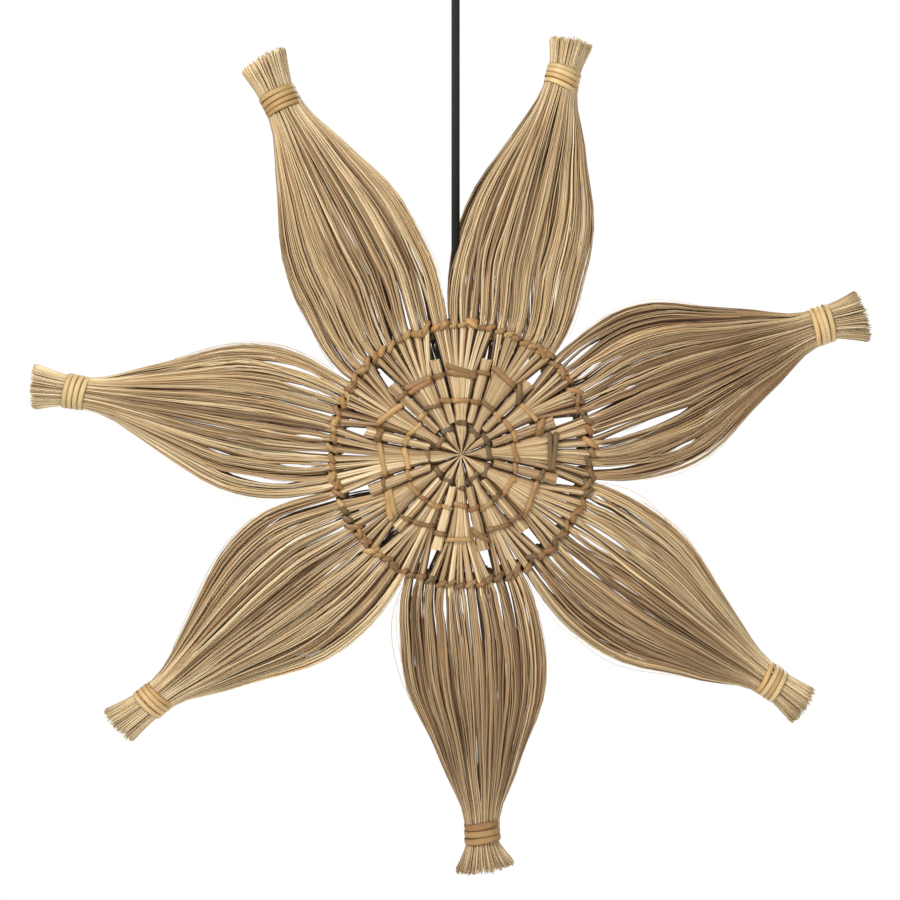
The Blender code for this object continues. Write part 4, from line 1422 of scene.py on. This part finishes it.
# Operators
class STRAWSTAR_OT_petals(bpy.types.Operator):
    """Make the fourteen petal layers of loose fibres"""

    bl_idname = "straw_star.petals"
    bl_label = "Petals"

    def execute(self, context):
        settings = context.scene.straw_star_straw
        material = fibre_material("straw_fibre", settings, straw_scale, 0.62, 0.22)
        for face, side in faces:
            for index in range(petal_count):
                rng = np.random.default_rng([11, index, int(side > 0)])
                name = f"{face}_petal_{index + 1}"
                fibres = petal_fibres(settings, index, side, rng)
                piece = fibre_piece(name + "_straw", rng, *fibres, smooth=True)
                finish_piece(piece, material, (name,))
        return {"FINISHED"}


class STRAWSTAR_OT_spokes(bpy.types.Operator):
    """Make the twelve spokes of each face out of broad stems"""

    bl_idname = "straw_star.spokes"
    bl_label = "Spokes"

    def execute(self, context):
        settings = context.scene.straw_star_straw
        material = fibre_material("spoke_straw", settings, straw_scale, 0.58, 0.18)
        for face, side in faces:
            rng = np.random.default_rng([21, int(side > 0)])
            made = [spoke_fibres(settings, number, side, rng) for number in range(spacer_count)]
            piece = fibre_piece(face + "_spokes_straw", rng, *map(np.concatenate, zip(*made)))
            finish_piece(piece, material, (face + "_spokes",))
        return {"FINISHED"}


class STRAWSTAR_OT_spacers(bpy.types.Operator):
    """Make the short cut bundles between the spokes"""

    bl_idname = "straw_star.spacers"
    bl_label = "Cut bundles"

    def execute(self, context):
        settings = context.scene.straw_star_straw
        material = fibre_material("cut_straw", settings, straw_scale, 0.58, 0.16)
        for face, side in faces:
            for number in range(spacer_count):
                rng = np.random.default_rng([31, number, int(side > 0)])
                name = f"{face}_spacer_{number + 1}"
                fibres = spacer_fibres(settings, number, side, rng)
                piece = fibre_piece(name + "_straw", rng, *fibres)
                finish_piece(piece, material, (name,))
        return {"FINISHED"}


class STRAWSTAR_OT_strays(bpy.types.Operator):
    """Make the single stray fibres on and beside the petals"""

    bl_idname = "straw_star.strays"
    bl_label = "Stray fibres"

    def execute(self, context):
        settings = context.scene.straw_star_straw
        material = fibre_material("stray_straw", settings, straw_scale, 0.62, 0.10)
        for face, side in faces:
            rng = np.random.default_rng([61, int(side > 0)])
            fibres = stray_fibres(settings, side, rng)
            finish_piece(fibre_piece(face + "_stray_fibres", rng, *fibres), material)
        return {"FINISHED"}


class STRAWSTAR_OT_hoops(bpy.types.Operator):
    """Make the cane hoops behind the straw"""

    bl_idname = "straw_star.hoops"
    bl_label = "Hoops"

    def execute(self, context):
        material = cane_material(context.scene.straw_star_lashing)
        for face, _ in faces:
            hoop_piece(face + "_cane_hoop", face + "_hoop", hoop_radius, material)
            for number in (1, 2):
                name, node = f"{face}_inner_cane_hoop_{number}", f"{face}_inner_hoop_{number}"
                hoop_piece(name, node, inner_hoop_radius, material)
        return {"FINISHED"}


class STRAWSTAR_OT_lashings(bpy.types.Operator):
    """Lash strands, spokes and cut bundles to the hoops with flat strip"""

    bl_idname = "straw_star.lashings"
    bl_label = "Lashings"

    def execute(self, context):
        settings = context.scene.straw_star_lashing
        material = fibre_material("lashing_strip", settings, strip_scale, 0.55, 0.14)
        makers = (("ring", ring_lashings), ("spoke", spoke_lashings), ("spacer", spacer_lashings))
        for face, side in faces:
            for name, maker in makers:
                rng = np.random.default_rng([41, len(name), int(side > 0)])
                loops = maker(side, rng)
                loops_piece(f"{face}_{name}_lashings", loops, settings, material, rng)
        return {"FINISHED"}


class STRAWSTAR_OT_ties(bpy.types.Operator):
    """Wind the tie strips round the seven tips"""

    bl_idname = "straw_star.ties"
    bl_label = "Tip ties"

    def execute(self, context):
        settings = context.scene.straw_star_lashing
        material = fibre_material("tie_strip", settings, strip_scale, 0.50, 0.10)
        for index in range(petal_count):
            tie_piece(index, material, np.random.default_rng([51, index]))
        return {"FINISHED"}


class STRAWSTAR_OT_hanging(bpy.types.Operator):
    """Make the ceiling fitting, the cord, the lamp holder and the bracket's finish"""

    bl_idname = "straw_star.hanging"
    bl_label = "Cord and holder"

    def execute(self, context):
        settings = context.scene.straw_star_hanging
        plastic = moulded_material("black_moulding", settings.black, 0.42)
        cord_piece(braid_material(settings), fitting_piece(plastic))
        holder_piece(plastic)
        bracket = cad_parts["holder_bracket"]
        bracket.data.materials.clear()
        bracket.data.materials.append(moulded_material("black_paint", settings.black, 0.34))
        return {"FINISHED"}


class STRAWSTAR_OT_stage(bpy.types.Operator):
    """Set the camera, the soft lights, the surround and the floor"""

    bl_idname = "straw_star.stage"
    bl_label = "Stage"

    def execute(self, context):
        settings = context.scene.straw_star_stage
        scene = context.scene
        scene.view_settings.view_transform = "Standard"
        scene.world = white_surround(settings.surround)

        deselect()
        bpy.ops.mesh.primitive_plane_add(
            size=settings.floor_size, location=(0.0, 0.0, settings.floor_height))
        floor = context.object
        floor.name = "floor"
        floor.data.materials.append(floor_material())

        add_light("key_light", (-1.0, -1.35, 1.25), 0.9, settings.key)
        add_light("fill_light", (1.2, -1.4, 0.1), 1.2, settings.key * 0.22)
        add_light("back_light", (0.9, 1.5, 1.1), 1.2, settings.key * 0.55)

        camera = bpy.data.cameras.new("camera")
        camera.sensor_width = 36.0
        camera.lens = camera.sensor_width * settings.camera_distance / settings.frame_width
        view = bpy.data.objects.new("camera", camera)
        view.location = (
            star_x - settings.camera_left, -settings.camera_distance, star_z + settings.camera_up)
        view.rotation_euler = (math.radians(90.0), 0.0, 0.0)
        scene.collection.objects.link(view)
        scene.camera = view
        return {"FINISHED"}


class STRAWSTAR_PT_panel(bpy.types.Panel):
    """Straw star"""

    bl_idname = "STRAWSTAR_PT_panel"
    bl_label = "Straw star"
    bl_space_type = "VIEW_3D"
    bl_region_type = "UI"
    bl_category = "Straw star"

    def draw(self, context):
        for name in setting_groups:
            group = getattr(context.scene, name)
            box = self.layout.box()
            for key in group.__annotations__:
                box.prop(group, key)
        for operator in operators:
            self.layout.operator(operator.bl_idname)


setting_groups = {
    "straw_star_straw": StrawSettings,
    "straw_star_lashing": LashingSettings,
    "straw_star_hanging": HangingSettings,
    "straw_star_stage": StageSettings,
}
operators = (
    STRAWSTAR_OT_stage, STRAWSTAR_OT_hanging, STRAWSTAR_OT_hoops, STRAWSTAR_OT_spokes,
    STRAWSTAR_OT_spacers, STRAWSTAR_OT_petals, STRAWSTAR_OT_strays, STRAWSTAR_OT_lashings,
    STRAWSTAR_OT_ties)
classes = (*setting_groups.values(), *operators, STRAWSTAR_PT_panel)


def register():
    for item in classes:
        bpy.utils.register_class(item)
    for name, group in setting_groups.items():
        setattr(bpy.types.Scene, name, bpy.props.PointerProperty(type=group))


def unregister():
    for name in setting_groups:
        delattr(bpy.types.Scene, name)
    for item in reversed(classes):
        bpy.utils.unregister_class(item)


def main():
    """Make every piece."""
    register()
    for operator in operators:
        group, name = operator.bl_idname.split(".")
        getattr(getattr(bpy.ops, group), name)()


if __name__ == "__main__":
    main()
